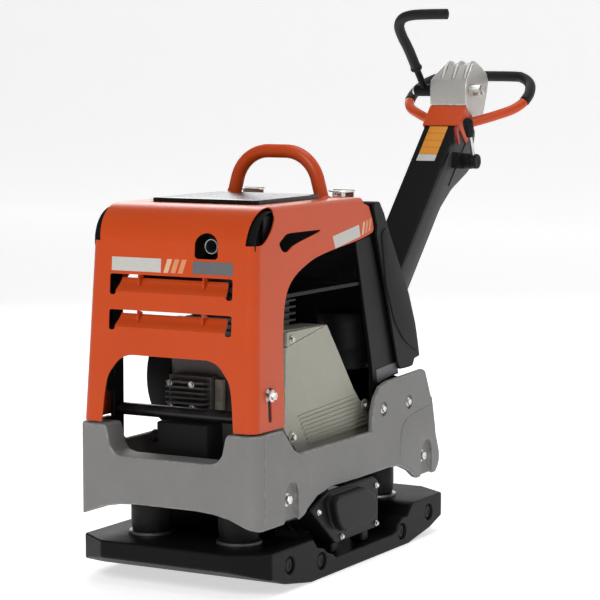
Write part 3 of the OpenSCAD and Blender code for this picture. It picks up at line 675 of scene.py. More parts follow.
def hood_mesh():
    """The hood's outer face in three sheets that share their edge points: a flat blank for front, bend and
    top, a rolled strip at each vertical corner, and a side sheet with a rolled shoulder along the top."""
    rise = np.linspace(0, RELIEF_H, 25)
    edge_x = hood_half(rise) - CORNER
    flare = np.linspace(0, 1, 13)[1:-1]
    flare_t = T_FOLD + flare * (T_TOP - T_FOLD)
    flare_x = edge_x[-1] + (TOP_HALF - edge_x[-1]) * flare**0.8
    top_y = np.linspace(FOLD_Y, 62, 24)
    right = np.column_stack([edge_x, rise / cos(RAKE)])
    right = np.vstack([right, np.column_stack([flare_x, flare_t]),
                       np.column_stack([np.full(24, TOP_HALF), T_TOP + top_y - FOLD_Y])])
    arch = smooth_line(ARCH, 5)
    rear = T_TOP + 62 - FOLD_Y
    notch = [(119, rear), (119, rear - 12), (128, rear - 12), (128, T_TOP - 277 - FOLD_Y)]
    half = np.vstack([arch, right, notch])
    outline = np.vstack([half, half[::-1] * [-1, 1]])
    holes = [rounded_loop(slot_outline(144, low, high), 6, 6) for low, high in LOUVRES]
    turn = np.linspace(0, pi, 17)
    holes.append(np.vstack([[(54, 343)], [(59, 338)], [(103, 338)], [(108, 343)],
                            np.column_stack([81 + 27 * np.cos(turn), 363 + 27 * np.sin(turn)])]))
    flat, faces = flat_sheet(outline, holes)
    sheet = bpy.data.meshes.new("hood_blank")
    sheet.from_pydata(np.column_stack([flat, np.zeros(len(flat))]).tolist(), [], faces)
    bm = bmesh.new()
    bm.from_mesh(sheet)
    for t in np.linspace(T_FOLD, T_TOP, 17):
        bmesh.ops.bisect_plane(bm, geom=bm.verts[:] + bm.edges[:] + bm.faces[:], dist=1e-4,
                               plane_co=(0, t, 0), plane_no=(0, 1, 0))
    bm.to_mesh(sheet)
    bm.free()
    blank = points_of(sheet)
    blank_faces = [list(f.vertices) for f in sheet.polygons]
    bpy.data.meshes.remove(sheet)
    parts = [(folded(blank[:, 0], blank[:, 1]), blank_faces)]

    angle = np.linspace(0, pi / 2, 9)
    h = rise[:, None] + 0 * angle
    front_y = HOOD_FRONT + rise[:, None] * tan(RAKE) + 0 * h
    x = hood_half(rise)[:, None] - CORNER + CORNER * np.sin(angle)
    y = front_y + CORNER * (1 - np.cos(angle))
    strip = np.stack([x, y, HOOD_Z + h], -1)
    strip_shape = (strip.reshape(-1, 3), grid_faces(25, 9))
    side_front = np.column_stack([strip[:, -1, 1], strip[:, -1, 2] - HOOD_Z])
    relief = smooth_line([(side_front[-1][0], side_front[-1][1]), (-360, 369), (-343, 379), (-327, 394),
                          (-317, 410), (-315.5, 419), (FOLD_Y, SHOULDER_H)], 4)
    top_edge = np.column_stack([top_y, np.full(24, SHOULDER_H)])
    lower = smooth_line(SIDE_ARCH, 4)
    side_outline = np.vstack([side_front, relief[1:-1], top_edge, lower[::-1]])
    key = np.linspace(radians(-64), radians(244), 24)
    foot = np.linspace(0, pi, 9)
    keyhole = np.vstack([np.column_stack([-355 + 15.5 * np.cos(key), 70 + 15.5 * np.sin(key)]),
                         np.column_stack([-355 - 6.8 * np.cos(foot), 23 - 6.8 * np.sin(foot)])])
    window = rounded_loop(SIDE_WINDOW, 7, 4)
    flat_side, side_faces = flat_sheet(side_outline, [keyhole, window])
    side_shape = (side_point(flat_side[:, 0], flat_side[:, 1]), side_faces)
    shoulder_x = hood_half(SHOULDER_H) - TOP_HALF
    shoulder = np.stack([TOP_HALF + shoulder_x * np.sin(angle)[None, :] + 0 * top_y[:, None],
                         top_y[:, None] + 0 * angle[None, :],
                         HOOD_TOP - SHOULDER * (1 - np.cos(angle))[None, :] + 0 * top_y[:, None]], -1)
    shoulder_shape = (shoulder.reshape(-1, 3), grid_faces(24, 9))
    for shape in (strip_shape, side_shape, shoulder_shape):
        parts += [shape, mirrored(shape)]
    mesh = bpy.data.meshes.new("hood_face")
    points, all_faces = joined(parts)
    mesh.from_pydata((points * MM).tolist(), [], all_faces)
    bm = bmesh.new()
    bm.from_mesh(mesh)
    bmesh.ops.remove_doubles(bm, verts=bm.verts, dist=3e-4)
    bmesh.ops.recalc_face_normals(bm, faces=bm.faces)
    top = max(bm.faces, key=lambda f: f.calc_center_median().z)
    if top.normal.z < 0:
        bmesh.ops.reverse_faces(bm, faces=bm.faces)
    bm.to_mesh(mesh)
    bm.free()
    return mesh


def thickened(mesh, thickness):
    """The mesh as a sheet of that thickness, measured inwards from the given face."""
    holder = bpy.data.objects.new("sheet", mesh)
    bpy.context.scene.collection.objects.link(holder)
    sheet = holder.modifiers.new("sheet", "SOLIDIFY")
    sheet.thickness = thickness * MM
    sheet.offset = -1
    sheet.use_even_offset = True
    sheet.thickness_clamp = 1.0
    bpy.context.view_layer.update()
    made = bpy.data.meshes.new_from_object(holder.evaluated_get(bpy.context.evaluated_depsgraph_get()))
    bpy.data.objects.remove(holder)
    return made


def film(name, corners, place, body, finish, out=0.35, thick=0.3):
    """A thin film on a curved sheet: the four corners span a grid in the sheet's own coordinates, and
    place lifts it on to the sheet, once for its face and once for its back."""
    c = np.asarray(corners, float)
    u, v = np.meshgrid(np.linspace(0, 1, 12), np.linspace(0, 1, 6), indexing="ij")
    u, v = u[..., None], v[..., None]
    grid = (1 - u) * (1 - v) * c[0] + u * (1 - v) * c[1] + u * v * c[2] + (1 - u) * v * c[3]
    across, up = grid[..., 0], grid[..., 1]
    shape = closed_sheet(place(across, up, out), place(across, up, out - thick))
    return add_piece(name, facing_out(mesh_from(name, *shape)), body, None, finish)


# ------------------------------------------------------------------ pieces

PLATE_HALF = 222.5
GUARD_SCREWS = ((-200, 291), (116, 315))
MOUNTS = ((-105, -312), (105, -312), (-105, 282), (105, 282))
FRAME_SIDE = 209.0
STRIPES = ("cream_film", "peach_film", "peach_film")


def build_finishes(size, colours):
    """Makes every material."""
    FINISHES.update(make_finishes(colours))


def build_plate(size, colours):
    """Builds the sole plate and its hole plugs."""
    rounded_node("base_plate", size.plate_edge, "sole_plate", 3)
    plug_line = [(0.1, 0), (12.6, 0), (13, 0.6), (13, 7.4), (12.2, 8.4), (7, 8.8), (6, 7.6), (0.1, 7.4)]
    ring_line = [(14.6, 0.3), (17.6, 0.3), (17.6, 5), (16.4, 6.2), (14.6, 5.4)]
    shapes = []
    for y, z in ((-310, 53), (-178, 37), (186, 33), (317, 54)):
        at = (PLATE_HALF - 12, y, z)
        shapes += [turned(plug_line, at, X_AXIS), ring_of(ring_line, at, X_AXIS)]
    solid_piece("hole_plugs", both(shapes), "machine", "plate_casting", "black_plastic", ["plate_plugs"])


def build_exciter(size, colours):
    """Builds the exciter's covers and screws, and finishes its running gear."""
    for node in ("exciter_gear_cover", "exciter_drive_cover"):
        rounded_node(node, size.cover_edge, segments=3)
    rounded_node("exciter_housing", 3)
    heads = [hex_bolt((215, y, z), X_AXIS, 4.5) for y, z in ((76, 152), (75, 70), (-80, 69), (-180, 137))]
    guard = [hex_bolt((165, y, z), X_AXIS, 7) for y, z in GUARD_SCREWS]
    guard.append(hex_bolt((167, -208, 493), X_AXIS, 6))
    solid_piece("cover_screws", both(heads) + guard, "machine", "zinc", replaced=["cover_bolts"])
    for node in ("exciter_bearings", "front_eccentric_shaft", "front_timing_gear", "exciter_pulley",
                 "rear_eccentric_shaft", "rear_timing_gear", "drive_belt", "clutch_drum", "crankshaft",
                 "flywheel_fan"):
        plain_node(node)


def build_mounts(size, colours):
    """Builds the rubber mounts and their discs."""
    barrel = [(0.1, 94), (37, 94), (39.5, 96), (40.5, 103), (42, 118), (42, 146), (40.5, 161), (39.5, 168),
              (37, 170), (0.1, 170)]
    plate = [(0.1, 0), (46.2, 0), (47, 0.8), (47, 5.2), (46.2, 6), (0.1, 6)]
    solid_piece("rubber_mounts", [turned(barrel, (x, y, 0), Z_AXIS) for x, y in MOUNTS], "machine",
                "rubber", replaced=["shock_mounts"])
    solid_piece("mount_discs", [turned(plate, (x, y, z), Z_AXIS) for x, y in MOUNTS for z in (88, 170)],
                "machine", SLOT_OF["shock_mount_plates"], replaced=["shock_mount_plates"])


def build_frame(size, colours):
    """Builds the cast frame, its bosses and screws, and the deck."""
    rounded_node("upper_frame", size.frame_edge, "cast_frame", 3)
    rounded_node("engine_deck", 1.2)
    front = [(-392, 320), (-322, 320), (-284, 284), (-243, 264), (-216, 242), (-201, 216), (-203, 182),
             (-212, 158), (-232, 141), (-250, 137), (-255, 137), (-255, 191), (-263, 211), (-283, 219),
             (-303, 211), (-311, 191), (-311, 137), (-392, 137)]
    rear = [(199, 182), (199, 238), (208, 262), (232, 277), (285, 285), (354, 292), (371, 226), (391, 177),
            (389, 155), (376, 139), (354, 137), (354, 189), (346, 209), (326, 217), (306, 209), (298, 189),
            (298, 135), (284, 139), (245, 163)]
    for name, outline in (("frame_boss_front", front), ("frame_boss_rear", rear)):
        plate = cut_plate(rounded_loop(outline, 10), [], FRAME_SIDE, FRAME_SIDE + 3.4)
        add_piece(name, bevelled(plate, 1.3, 40, 3), "machine", "frame_casting")
    bolts = [hex_bolt((203, y, z), X_AXIS, 10) for y, z in ((-291, 181), (316, 180))]
    bolts += [hex_bolt((207, y, 311), X_AXIS, 7) for y in (119, 240)]
    solid_piece("frame_screws", both(bolts), "machine", "zinc", replaced=["frame_bolts"])


def build_engine(size, colours):
    """Builds the engine's castings, studs, coil bracket and fan cowl."""
    rounded_node("engine_block", 2.5)
    rounded_node("cylinder_head", 1.0)
    rounded_node("fan_cowl", 2.5, segments=3)
    rivet = [(0.1, 0), (4, 0), (3.4, 2), (0.1, 2.4)]
    bracket = [soft_block((-3, -228, 338), (15, -213, 402), 2, 1)]
    bracket += [turned(rivet, (6, -228, z), (0, -1, 0), 24) for z in (386, 352)]
    solid_piece("coil_bracket", bracket, "machine", "guard_casting")
    studs = [hex_bolt((x, -266, z), (0, -1, 0), 5) for x in (-88, -35) for z in (346, 394)]
    solid_piece("head_studs", studs, "machine", "zinc")


def build_belt_guard(size, colours):
    """Builds the belt guard with its cap, ribs and lugs."""
    rounded_node("belt_cover", size.guard_edge, "belt_guard", 3)
    rounded_node("belt_cover_cap", 1.8)
    ribs = []
    for k in range(8):
        a, b = np.array([-176 + 6 * k, 330 - 8.5 * k]), np.array([70 + 8 * k, 343 - 9.5 * k])
        lift = np.array([0, 2.1])
        ribs.append(prism([a - lift, b - lift, b + lift, a + lift], 163, 167.2))
    lug_line = [(0.1, 0), (15, 0), (15, 1.6), (13.8, 2.4), (9.5, 2.4), (9, 1.2), (0.1, 1.2)]
    lugs = [turned(lug_line, (164, y, z), X_AXIS) for y, z in GUARD_SCREWS]
    solid_piece("guard_ribs", ribs + lugs, "machine", "guard_casting")


def build_intake(size, colours):
    """Builds the silencer, outlet pipe and air filter."""
    can = [(0.1, 12), (40, 12), (42.5, 13), (44, 16), (44, 20), (42.5, 22), (42.5, 78), (43.6, 80),
           (43.6, 92), (42.5, 94), (42.5, 150), (44, 152), (44, 156), (42.5, 159), (40, 160), (0.1, 160)]
    stub = turned([(0.1, 0), (14, 0), (14, 50), (0.1, 50)], (40, -255, 560), Z_AXIS, 32)
    foot = soft_block((26, -269, 556), (54, -180, 562), 4, 1)
    solid_piece("silencer", [turned(can, (0, -255, 640), X_AXIS), stub, foot], "machine",
                SLOT_OF["muffler"], replaced=["muffler"])
    pipe = ring_of([(13, 0), (13.4, -0.4), (14.6, -0.4), (15, 0), (15, 122), (13, 122)],
                   (87, -385.6, 691), (0, 1, 0))
    knee = turned([(0.1, -15), (6, -13.7), (10.6, -10.6), (13.9, -5.7), (15, 0), (15, 8), (0.1, 8)],
                  (87, -256, 691), (0, 0, -1))
    solid_piece("outlet_pipe", [pipe, knee], "machine", SLOT_OF["tailpipe"], replaced=["tailpipe"])
    can = [(0.1, 392), (53, 392), (55.6, 394), (56, 398), (56, 430), (54.6, 432), (54.6, 446), (56, 448),
           (56, 494), (57.6, 498), (60, 500), (60, 510), (57, 514), (30, 513.4), (0.1, 513)]
    stand = soft_block((62, 136, 196), (96, 160, 393), 3, 1)
    solid_piece("air_filter", [turned(can, (95, 148, 0), Z_AXIS), stand], "machine",
                SLOT_OF["air_cleaner"], replaced=["air_cleaner"])


def build_tank(size, colours):
    """Builds the fuel tank and cap, power box and cross tube."""
    rounded_node("fuel_tank", 6, segments=3)
    knurl = [(0.1, 737.3), (28, 737.3), (28.6, 738), (28.6, 752), (26, 756), (18, 757.2), (0.1, 757.2)]
    solid_piece("filler_cap", [turned(knurl, (-90, -60, 0), Z_AXIS, 96,
                                      lambda a, h: 1 + 0.014 * np.cos(24 * a) * (h < 754))],
                "fuel_cap", "black_plastic", replaced=["fuel_cap"])
    knob = turned([(0.1, -92), (9, -92), (11, -91), (13, -88), (13, -82), (9, -79), (9, -70), (0.1, -70)],
                  (0, -326, 293), X_AXIS, 48, lambda a, h: 1 + 0.03 * np.cos(12 * a) * (h < -81))
    box = soft_block((-72, -345, 196), (52, -282, 326), 8, 4)
    solid_piece("power_box", [box, knob], "machine", "black_plastic", replaced=["battery_box"])
    bar = np.column_stack([np.linspace(-172, 172, 24), np.full(24, -331.0), np.full(24, 345.0)])
    solid_piece("cross_tube", [tube(bar, 13, Z_AXIS)], "machine", "gloss_black", replaced=["crossbar"])


def bail_path():
    """Centre line of the lifting bail: up each leaning leg, round a bend and level across the top."""
    lean = radians(15)
    leg = np.linspace(-2, 49, 8)[:, None] * [-sin(lean), 0, cos(lean)] + [111, 27, 758]
    foot = leg[-1]
    a = np.linspace(0, radians(75), 18)[1:]
    bend = np.column_stack([foot[0] - 80 * (cos(lean) - np.cos(lean + a)), np.full(17, 27.0),
                            foot[2] + 80 * (np.sin(lean + a) - sin(lean))])
    half = np.vstack([leg, bend])
    across = np.column_stack([np.linspace(half[-1][0], -half[-1][0], 8)[1:-1], np.full(6, 27.0),
                              np.full(6, half[-1][2])])
    return np.vstack([half, across, half[::-1] * [-1, 1, 1]])


def build_guard(size, colours):
    """Builds the guard frame, lifting loop, lid and shrouds."""
    for node, width in (("guard_frame", 1.5), ("latch_keepers", 0.8), ("side_panels", 1.2)):
        rounded_node(node, width)
    rounded_node("rear_cover", 4, "rear_shroud", 3)
    feet = both([soft_block((92, 2, 752), (130, 52, 763), 5, 2)])
    collar = [(0.1, 0), (19.5, 0), (19.5, 2), (16.5, 5), (0.1, 5)]
    collars = both([turned(collar, (111, 27, 762.5), (-0.26, 0, 0.97))])
    solid_piece("lifting_loop", [tube(bail_path(), 14.95, (0, 1, 0), 36)] + feet + collars, "machine",
                "orange_paint", replaced=["lifting_bail"])
    lid = soft_block((-125.5, -275, 752), (125.5, -8, 778), 12, 2.5, 1.2)
    solid_piece("lid", [lid], "machine", "gloss_black", replaced=["top_cover"])
    badge = prism(rounded_loop([(129, 393), (226, 400), (232, 377), (135, 364)], 3), 185.8, 186.9)
    solid_piece("side_plate_blank", both([badge]), "machine", "zinc", "grey_film")
    panel = cut_plate(rounded_loop([(131, 690), (158, 702), (226, 600), (260, 552), (296, 476), (315, 412),
                                    (272, 430), (232, 453), (193, 496), (153, 578)], 12), [], 194.5, 198.6)
    add_piece("rear_shroud_panels", bevelled(panel, 1.6, 40, 3), "machine", "black_plastic")


def build_hood(size, colours):
    """Builds the folded hood, its louvres, corner liners and films."""
    mesh = bevelled(thickened(hood_mesh(), 3.0), size.sheet_edge, 50, 2)
    mesh.name = "hood_shell"
    piece = add_piece("hood_shell", mesh, "hood", "orange_paint", replaced=["engine_hood"])
    piece.modifiers.new("even_shading", "WEIGHTED_NORMAL").keep_sharp = True
    tongues = []
    for low, high in LOUVRES:
        x = np.linspace(-130, 130, 30)
        s = np.linspace(0, 1, 8)
        t, xx = np.meshgrid(s, x, indexing="ij")
        outer = folded(xx * (1 - 6 / 134 * t), low + (high - 7 - low) * t, 0.0)
        inward = 16 * np.sin(t * pi / 2)**1.3
        outer = outer + np.stack([0 * t, inward * cos(RAKE), -inward * sin(RAKE)], -1)
        tongues.append(closed_sheet(outer, outer + [0, 2.6, -0.6]))
        for x in (-76, 76):
            y0 = HOOD_FRONT + high * tan(RAKE)
            fin = [(y0 + 1.5, HOOD_Z + high + 0.5), (y0 + 18, HOOD_Z + high - 5),
                   (y0 + 15, HOOD_Z + high - 12), (y0 - 0.2, HOOD_Z + low + 14),
                   (y0 - 0.2, HOOD_Z + high - 4)]
            tongues.append(prism(fin, x - 1.3, x + 1.3))
    solid_piece("louvre_tongues", tongues, "hood", "orange_paint", smooth=50)

    a = np.linspace(radians(88), radians(188), 24)
    outer, inner = (np.column_stack([FOLD_Y + r * np.cos(a), FOLD_Z + r * np.sin(a)]) for r in (67.5, 65.5))
    band = np.vstack([outer, inner[::-1]])
    screw = turned([(0.1, 0), (5, 0), (4.4, 2.2), (0.1, 2.8)], (181, FOLD_Y - 56, FOLD_Z + 33),
                   (0, -0.86, 0.5))
    solid_piece("relief_liner", both([prism(band, 148, 188.5), screw]), "hood", "black_paint", "liner")

    film("front_label_blank", [(-140, 307.5), (-23, 307.5), (-23, 335), (-140, 335)], folded, "hood",
         "pale_film")
    film("front_plate_blank", [(51, 308), (144, 308), (144, 333), (51, 333)], folded, "hood", "grey_film")
    for k, name in enumerate(STRIPES):
        x = -17 + 17 * k
        film(f"front_stripe_{k + 1}", [(x, 307.5), (x + 11, 307.5), (x + 20, 335), (x + 9, 335)], folded,
             "hood", name)
    for side, sign in (("left", 1), ("right", -1)):
        def on_side(y, h, out):
            return side_point(y, h, out) * [sign, 1, 1]

        film(f"{side}_label_blank", [(-68, 340), (44, 358), (38, 383), (-78, 366)], on_side, "hood",
             "pale_film")
        for k, name in enumerate(STRIPES):
            y, h = 50 + 15 * k, 360 + 3 * k
            film(f"{side}_stripe_{k + 1}", [(y, h), (y + 9, h + 1.5), (y + 17, h + 29), (y + 8, h + 27)],
                 on_side, "hood", name)


def build_hood_fittings(size, colours):
    """Builds the hood's pivots and latches."""
    pivot = JOINT_AT["hood_tilt"]
    pivots = both([hex_bolt(pivot + (207, 0, 0), X_AXIS, 9),
                   turned([(0.1, 194), (4, 194), (4, 207.5), (0.1, 207.5)], pivot, X_AXIS, 24)])
    solid_piece("pivot_screws", pivots, "machine", "zinc", replaced=["hood_pivot_bolts"])
    plain_node("hood_pivot_bushes")
    for node in ("latch_bases", "latch_lever_left", "latch_lever_right"):
        rounded_node(node, 0.6)


ARM_ANGLE = 47.0


def on_arm(shape):
    """A shape given in the arm's own frame: Y up the arm from its pivot and Z its upper face."""
    return placed(shape, ARM_ANGLE, JOINT_AT["handle_tilt"])


ARM_CHEEK = [(390, 420), (441, 394), (735, 706), (795, 747), (886, 785), (900, 793), (932, 884), (914, 900),
             (868, 924), (848, 903)]


def head_taper(points):
    """Draws the head's right side in above the shaft, more with height."""
    rise = np.clip((points[:, 2] - 1013) / 42, 0, 1)
    return points + np.column_stack([24 * rise * (points[:, 0] < 0) * np.abs(points[:, 0]) / 50,
                                     0 * rise, 0 * rise])


def build_arm(size, colours):
    """Builds the arm, saddle, head and blank notices."""
    rounded_node("handle_bracket", 2)
    pin_line = [(0.1, -68), (16, -68), (17, -67), (17, -62), (12, -62), (12, 62), (17, 62), (17, 67),
                (16, 68), (0.1, 68)]
    pin = turned(pin_line, JOINT_AT["handle_tilt"], X_AXIS)
    solid_piece("arm_pin", [pin], BODY_OF["handle_pivot_pin"], "zinc", replaced=["handle_pivot_pin"])
    rounded_node("handle_arm", size.arm_edge, "arm_beam", 3)
    rounded_node("handle_saddle", 2.5, "saddle", 3)
    rounded_node("head_casting", size.head_edge, "head_cover", 4, reshape=head_taper)
    crest = smooth_line([(876, 1012), (889, 1031), (903, 1046), (925, 1052), (956, 1041), (984, 1025)], 6)
    ridges = [tube(np.column_stack([np.full(len(crest), x), crest]), 6.5, X_AXIS, 20, 0.9)
              for x in (-20, 10, 40)]
    solid_piece("head_ridges", ridges, "handle", "head_casting")
    cheek = cut_plate(rounded_loop(ARM_CHEEK, 14), [], 42.4, 44.8)
    add_piece("arm_cheeks", bevelled(cheek, 0.9, 40, 2), "handle", "black_paint", "slate_paint")
    for k in range(4):
        low = 609 + 22.6 * k
        panel = soft_block((-28, low, 31.4), (21, low + 21.8, 32.5), 1, 0.3)
        solid_piece(f"notice_blank_{k + 1}", [on_arm(panel)], "handle", "black_paint", "amber_film")
    foot = soft_block((-28, 588, 31.4), (21, 608.2, 32.5), 1, 0.3)
    solid_piece("notice_blank_foot", [on_arm(foot)], "handle", "black_paint", "pale_film")


LOOP_HALF = [(49, 897), (76, 909), (106, 924), (140, 945), (157, 972), (158, 1000), (146, 1032),
             (118, 1055), (80, 1062)]


def loop_points(half):
    """Points of the operator's loop, which lies in a plane that rises to the rear."""
    half = np.asarray(half, float)
    return np.column_stack([half, 906 + 0.68 * (half[:, 1] - 895)])


def build_loop(size, colours):
    """Builds the operator's loop and its sleeve."""
    side = (0, -0.56, 0.83)
    arm = smooth_line(loop_points(LOOP_HALF), 9)[:4 * 9 + 1]
    solid_piece("loop_tube", both([tube(arm, 12, side)]), "handle", "orange_paint", replaced=["loop_handle"])
    right = loop_points(LOOP_HALF[4:])
    path = smooth_line(np.vstack([right, right[::-1] * [-1, 1, 1]]), 9)
    solid_piece("loop_sleeve", [tube(path, 13, side, 36)], "handle", "rubber", replaced=["loop_grip"])


def build_levers(size, colours):
    """Builds the travel, throttle and lock levers."""
    pivot = JOINT_AT["travel_lever_swing"]
    _, y, z = pivot
    boss = turned([(0.1, 50.4), (15, 50.4), (15, 76), (13.8, 78), (0.1, 78)], pivot, X_AXIS, 64,
                  lambda a, h: np.where(h > 62, np.minimum(1, 0.86 / np.maximum(np.abs(np.cos(a)), 0.1)), 1))
    tip = turned([(0.1, 78), (10, 78), (11, 79), (11, 85.4), (9.6, 87), (0.1, 87)], pivot, X_AXIS, 48,
                 hexagon)
    rod = turned([(0.1, -50.4), (12, -50.4), (12, 50.4), (0.1, 50.4)], pivot, X_AXIS)
    collar = turned([(0.1, -106), (10, -106), (11, -105), (11, -100.2), (0.1, -100.2)], pivot, X_AXIS)
    solid_piece("cross_shaft", [boss, tip, rod, collar], BODY_OF["lever_shaft"], "zinc",
                replaced=["lever_shaft"])
    hub = turned([(0.1, -100), (14, -100), (15, -99), (15, -51.4), (14, -50.4), (0.1, -50.4)], pivot, X_AXIS)
    lower = np.linspace(0, 1, 12)[:, None] * np.array([0, -51, 55]) + [-75, y, z]
    bar = np.vstack([lower[:-1], smooth_line([(-75, y - 51, z + 55), (-75, 832, 1052)], 3)])
    solid_piece("travel_rod", [hub, tube(bar, 8.5, X_AXIS)], BODY_OF["travel_lever"],
                SLOT_OF["travel_lever"], replaced=["travel_lever"])
    crank = [(-75, y - 51, z + 55), (-75, 800, 1086), (-77, 768, 1118), (-73, 745, 1141), (-57, 729, 1158),
             (-30, 722, 1166), (14, 721, 1168), (70, 721, 1168)]
    path = smooth_line(crank, 8)
    lean = np.array([0, -51, 55.0]) / np.hypot(51, 55)
    step = ring_of([(8.6, 0), (14.2, 0), (14.6, 1), (14.6, 4), (13, 6), (8.6, 6)], (-75, y - 49, z + 53),
                   lean, 36)
    solid_piece("travel_sleeve", [tube(path, 12.6, (0, 0.7, 0.71), 36, cap=0.9), step],
                BODY_OF["travel_grip"], "rubber", replaced=["travel_grip"])

    axis = JOINT_AT["throttle_swing"] * (0, 1, 1)
    hub = turned([(0.1, 44), (18.4, 44), (19, 45), (19, 76.6), (17.6, 78), (0.1, 78)], axis, X_AXIS)
    bracket = prism(rounded_loop([(795, 800), (838, 796), (838, 834), (800, 838)], 4), 44, 60)
    solid_piece("throttle_boss", [hub, bracket], BODY_OF["throttle_hub"], "black_plastic",
                replaced=["throttle_hub"])
    lean = atan(45 / 110)
    up = np.array([0, -sin(lean), cos(lean)])
    disc = turned([(0.1, 78.4), (17, 78.4), (18, 79.4), (18, 94), (16.4, 96), (7, 96), (6.4, 95), (0.1, 95)],
                  axis, X_AXIS)
    foot = axis + (86, 0, 0)
    stem = turned([(0.1, 12), (4.5, 12), (4.5, 67), (0.1, 67)], foot, up, 24)
    solid_piece("throttle_arm", [stem], BODY_OF["throttle_lever"], SLOT_OF["throttle_lever"],
                replaced=["throttle_lever"])
    solid_piece("throttle_disc", [disc], BODY_OF["throttle_lever"], "black_plastic")
    a = np.linspace(0, pi / 2, 9)
    dome = list(zip(12.5 * np.cos(a) + 0.05, 102 + 12.5 * np.sin(a)))
    knob = turned([(0.1, 66), (8.2, 66), (9, 67), (11, 78), (12.5, 92)] + dome, foot, up)
    solid_piece("throttle_ball", [knob], BODY_OF["throttle_knob"], "black_plastic",
                replaced=["throttle_knob"])
    rounded_node("lock_lever", 0.8)


def build_stage(size, colours):
    """Adds a pale floor that curves up into a backdrop, four soft lights and the camera."""
    bend = np.linspace(0, pi / 2, 12)[1:]
    y = np.concatenate([np.linspace(-14, 9, 3), 9 + 4 * np.sin(bend), [13]])
    z = np.concatenate([np.zeros(3), 4 - 4 * np.cos(bend), [16]])
    grid = np.stack(np.broadcast_arrays(np.linspace(-14, 14, 3)[:, None], y, z), -1)
    mesh = mesh_from("studio_floor", grid.reshape(-1, 3) / MM, grid_faces(3, len(y)), 60)
    mesh.flip_normals()
    floor = bpy.data.objects.new("studio_floor", mesh)
    bpy.context.scene.collection.objects.link(floor)
    paper = Finish("studio_paper")
    mesh.materials.append(paper.set(Base_Color=(0.86, 0.86, 0.86), Roughness=0.95, Emission_Color=(1, 1, 1),
                                    Emission_Strength=0.6))

    aim = Vector((0, 0, 0.5))
    for name, place, wide, power in (("key_light", (0.6, -4.4, 3.6), 2.2, 100),
                                     ("side_light", (4.4, -0.6, 2.0), 1.2, 12),
                                     ("top_light", (0.2, 0.6, 4.2), 2.4, 48),
                                     ("rear_light", (-2.6, 3.2, 2.6), 2.0, 40)):
        data = bpy.data.lights.new(name, "AREA")
        data.size = wide
        data.energy = power
        light = bpy.data.objects.new(name, data)
        light.location = place
        light.rotation_euler = (aim - Vector(place)).to_track_quat("-Z", "Y").to_euler()
        bpy.context.scene.collection.objects.link(light)

    world = bpy.data.worlds.new("studio_air")
    world.use_nodes = True
    world.node_tree.nodes["Background"].inputs["Color"].default_value = (1, 1, 1, 1)
    world.node_tree.nodes["Background"].inputs["Strength"].default_value = 0.16
    bpy.context.scene.world = world

    data = bpy.data.cameras.new("front_camera")
    data.lens = 136.148
    data.sensor_width = 36
    data.clip_end = 100
    camera = bpy.data.objects.new("front_camera", data)
    camera.location = (2.41903, -4.1812, 1.03982)
    turn, down = radians(29.32), radians(5.83)
    look = Vector((-sin(turn) * cos(down), cos(turn) * cos(down), -sin(down)))
    camera.rotation_euler = look.to_track_quat("-Z", "Y").to_euler()
    bpy.context.scene.collection.objects.link(camera)
    bpy.context.scene.camera = camera
    bpy.context.scene.view_settings.view_transform = "Standard"


# ------------------------------------------------------------------ add-on

def length(name, description, default):
    """A size property, in millimetres."""
    return bpy.props.FloatProperty(name=name, description=description, default=default, min=0.2, max=10.0,
                                   precision=2)


def colour(name, description, default):
    """A linear colour property."""
    return bpy.props.FloatVectorProperty(name=name, description=description, default=default, size=3,
                                         min=0.0, max=1.0, subtype="COLOR")


class CompactorSizes(bpy.types.PropertyGroup):
    """Edge radii, in millimetres."""
    plate_edge: length("Sole plate edge", "Radius of the sole plate's cast edges, mm", 4.0)
    cover_edge: length("Exciter cover edge", "Radius of the exciter covers' edges, mm", 5.0)
    frame_edge: length("Frame edge", "Radius of the cast frame's edges, mm", 3.5)
    guard_edge: length("Belt guard edge", "Radius of the belt guard's edges, mm", 3.0)
    sheet_edge: length("Sheet edge", "Radius of the hood's cut edges, mm", 0.6)
    arm_edge: length("Arm edge", "Radius of the arm's long edges, mm", 3.5)
    head_edge: length("Head edge", "Radius of the head casting's edges, mm", 4.0)


class CompactorColours(bpy.types.PropertyGroup):
    """Base colours, linear."""
    orange: colour("Orange", "Powder coat of hood, bail, loop and saddle", (0.64, 0.073, 0.010))
    frame: colour("Frame grey", "Paint of the cast frame", (0.232, 0.229, 0.221))
    guard: colour("Guard grey", "Casting of the belt guard", (0.45, 0.44, 0.37))
    black: colour("Black", "Paint of arm, sole plate and panels", (0.0075, 0.0077, 0.0085))
    head: colour("Head silver", "Casting of the handle's head", (0.62, 0.605, 0.575))


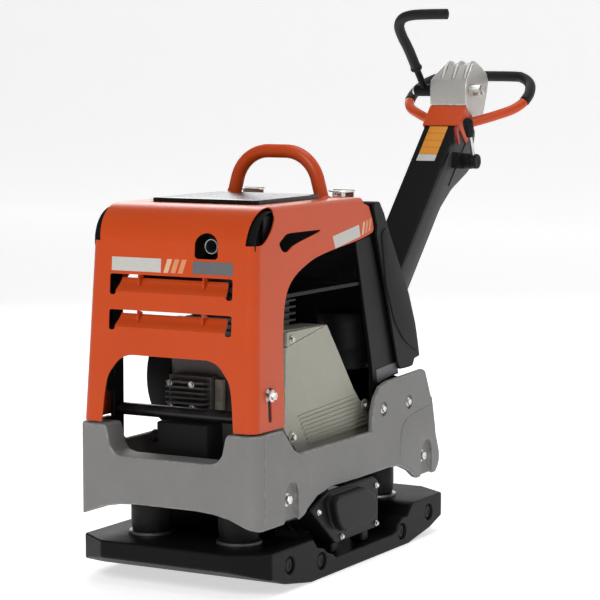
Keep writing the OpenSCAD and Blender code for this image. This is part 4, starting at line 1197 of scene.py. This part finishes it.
def make_operator(key, label, build):
    """One operator that builds one group of pieces and says what its step says."""
    def execute(self, context):
        build(context.scene.compactor_sizes, context.scene.compactor_colours)
        return {"FINISHED"}
    return type("COMPACTOR_OT_" + key, (bpy.types.Operator,),
                {"bl_idname": "compactor." + key, "bl_label": label, "__doc__": build.__doc__,
                 "execute": execute})


STEPS = [
    ("finishes", "Finishes", build_finishes),
    ("plate", "Sole plate", build_plate),
    ("exciter", "Exciter", build_exciter),
    ("mounts", "Rubber mounts", build_mounts),
    ("frame", "Cast frame", build_frame),
    ("engine", "Engine", build_engine),
    ("belt_guard", "Belt guard", build_belt_guard),
    ("intake", "Silencer and filter", build_intake),
    ("tank", "Tank and box", build_tank),
    ("guard", "Guard and bail", build_guard),
    ("hood", "Hood", build_hood),
    ("fittings", "Hood fittings", build_hood_fittings),
    ("arm", "Handle arm", build_arm),
    ("loop", "Operator's loop", build_loop),
    ("levers", "Levers", build_levers),
    ("stage", "Stage", build_stage),
]
OPERATORS = [make_operator(*step) for step in STEPS]


class COMPACTOR_PT_panel(bpy.types.Panel):
    """Lists the compactor's sizes, colours and build steps."""
    bl_idname = "COMPACTOR_PT_panel"
    bl_label = "Plate Compactor"
    bl_space_type = "VIEW_3D"
    bl_region_type = "UI"
    bl_category = "Compactor"

    def draw(self, context):
        for group in (context.scene.compactor_sizes, context.scene.compactor_colours):
            for key in group.__annotations__:
                self.layout.prop(group, key)
        for operator in OPERATORS:
            self.layout.operator(operator.bl_idname)


CLASSES = [CompactorSizes, CompactorColours, *OPERATORS, COMPACTOR_PT_panel]


def register():
    for cls in CLASSES:
        bpy.utils.register_class(cls)
    bpy.types.Scene.compactor_sizes = bpy.props.PointerProperty(type=CompactorSizes)
    bpy.types.Scene.compactor_colours = bpy.props.PointerProperty(type=CompactorColours)


def unregister():
    del bpy.types.Scene.compactor_sizes
    del bpy.types.Scene.compactor_colours
    for cls in reversed(CLASSES):
        bpy.utils.unregister_class(cls)


def main():
    """Runs every step and writes both boxes."""
    register()
    for key, *_ in STEPS:
        getattr(bpy.ops.compactor, key)()


if __name__ == "__main__":
    main()
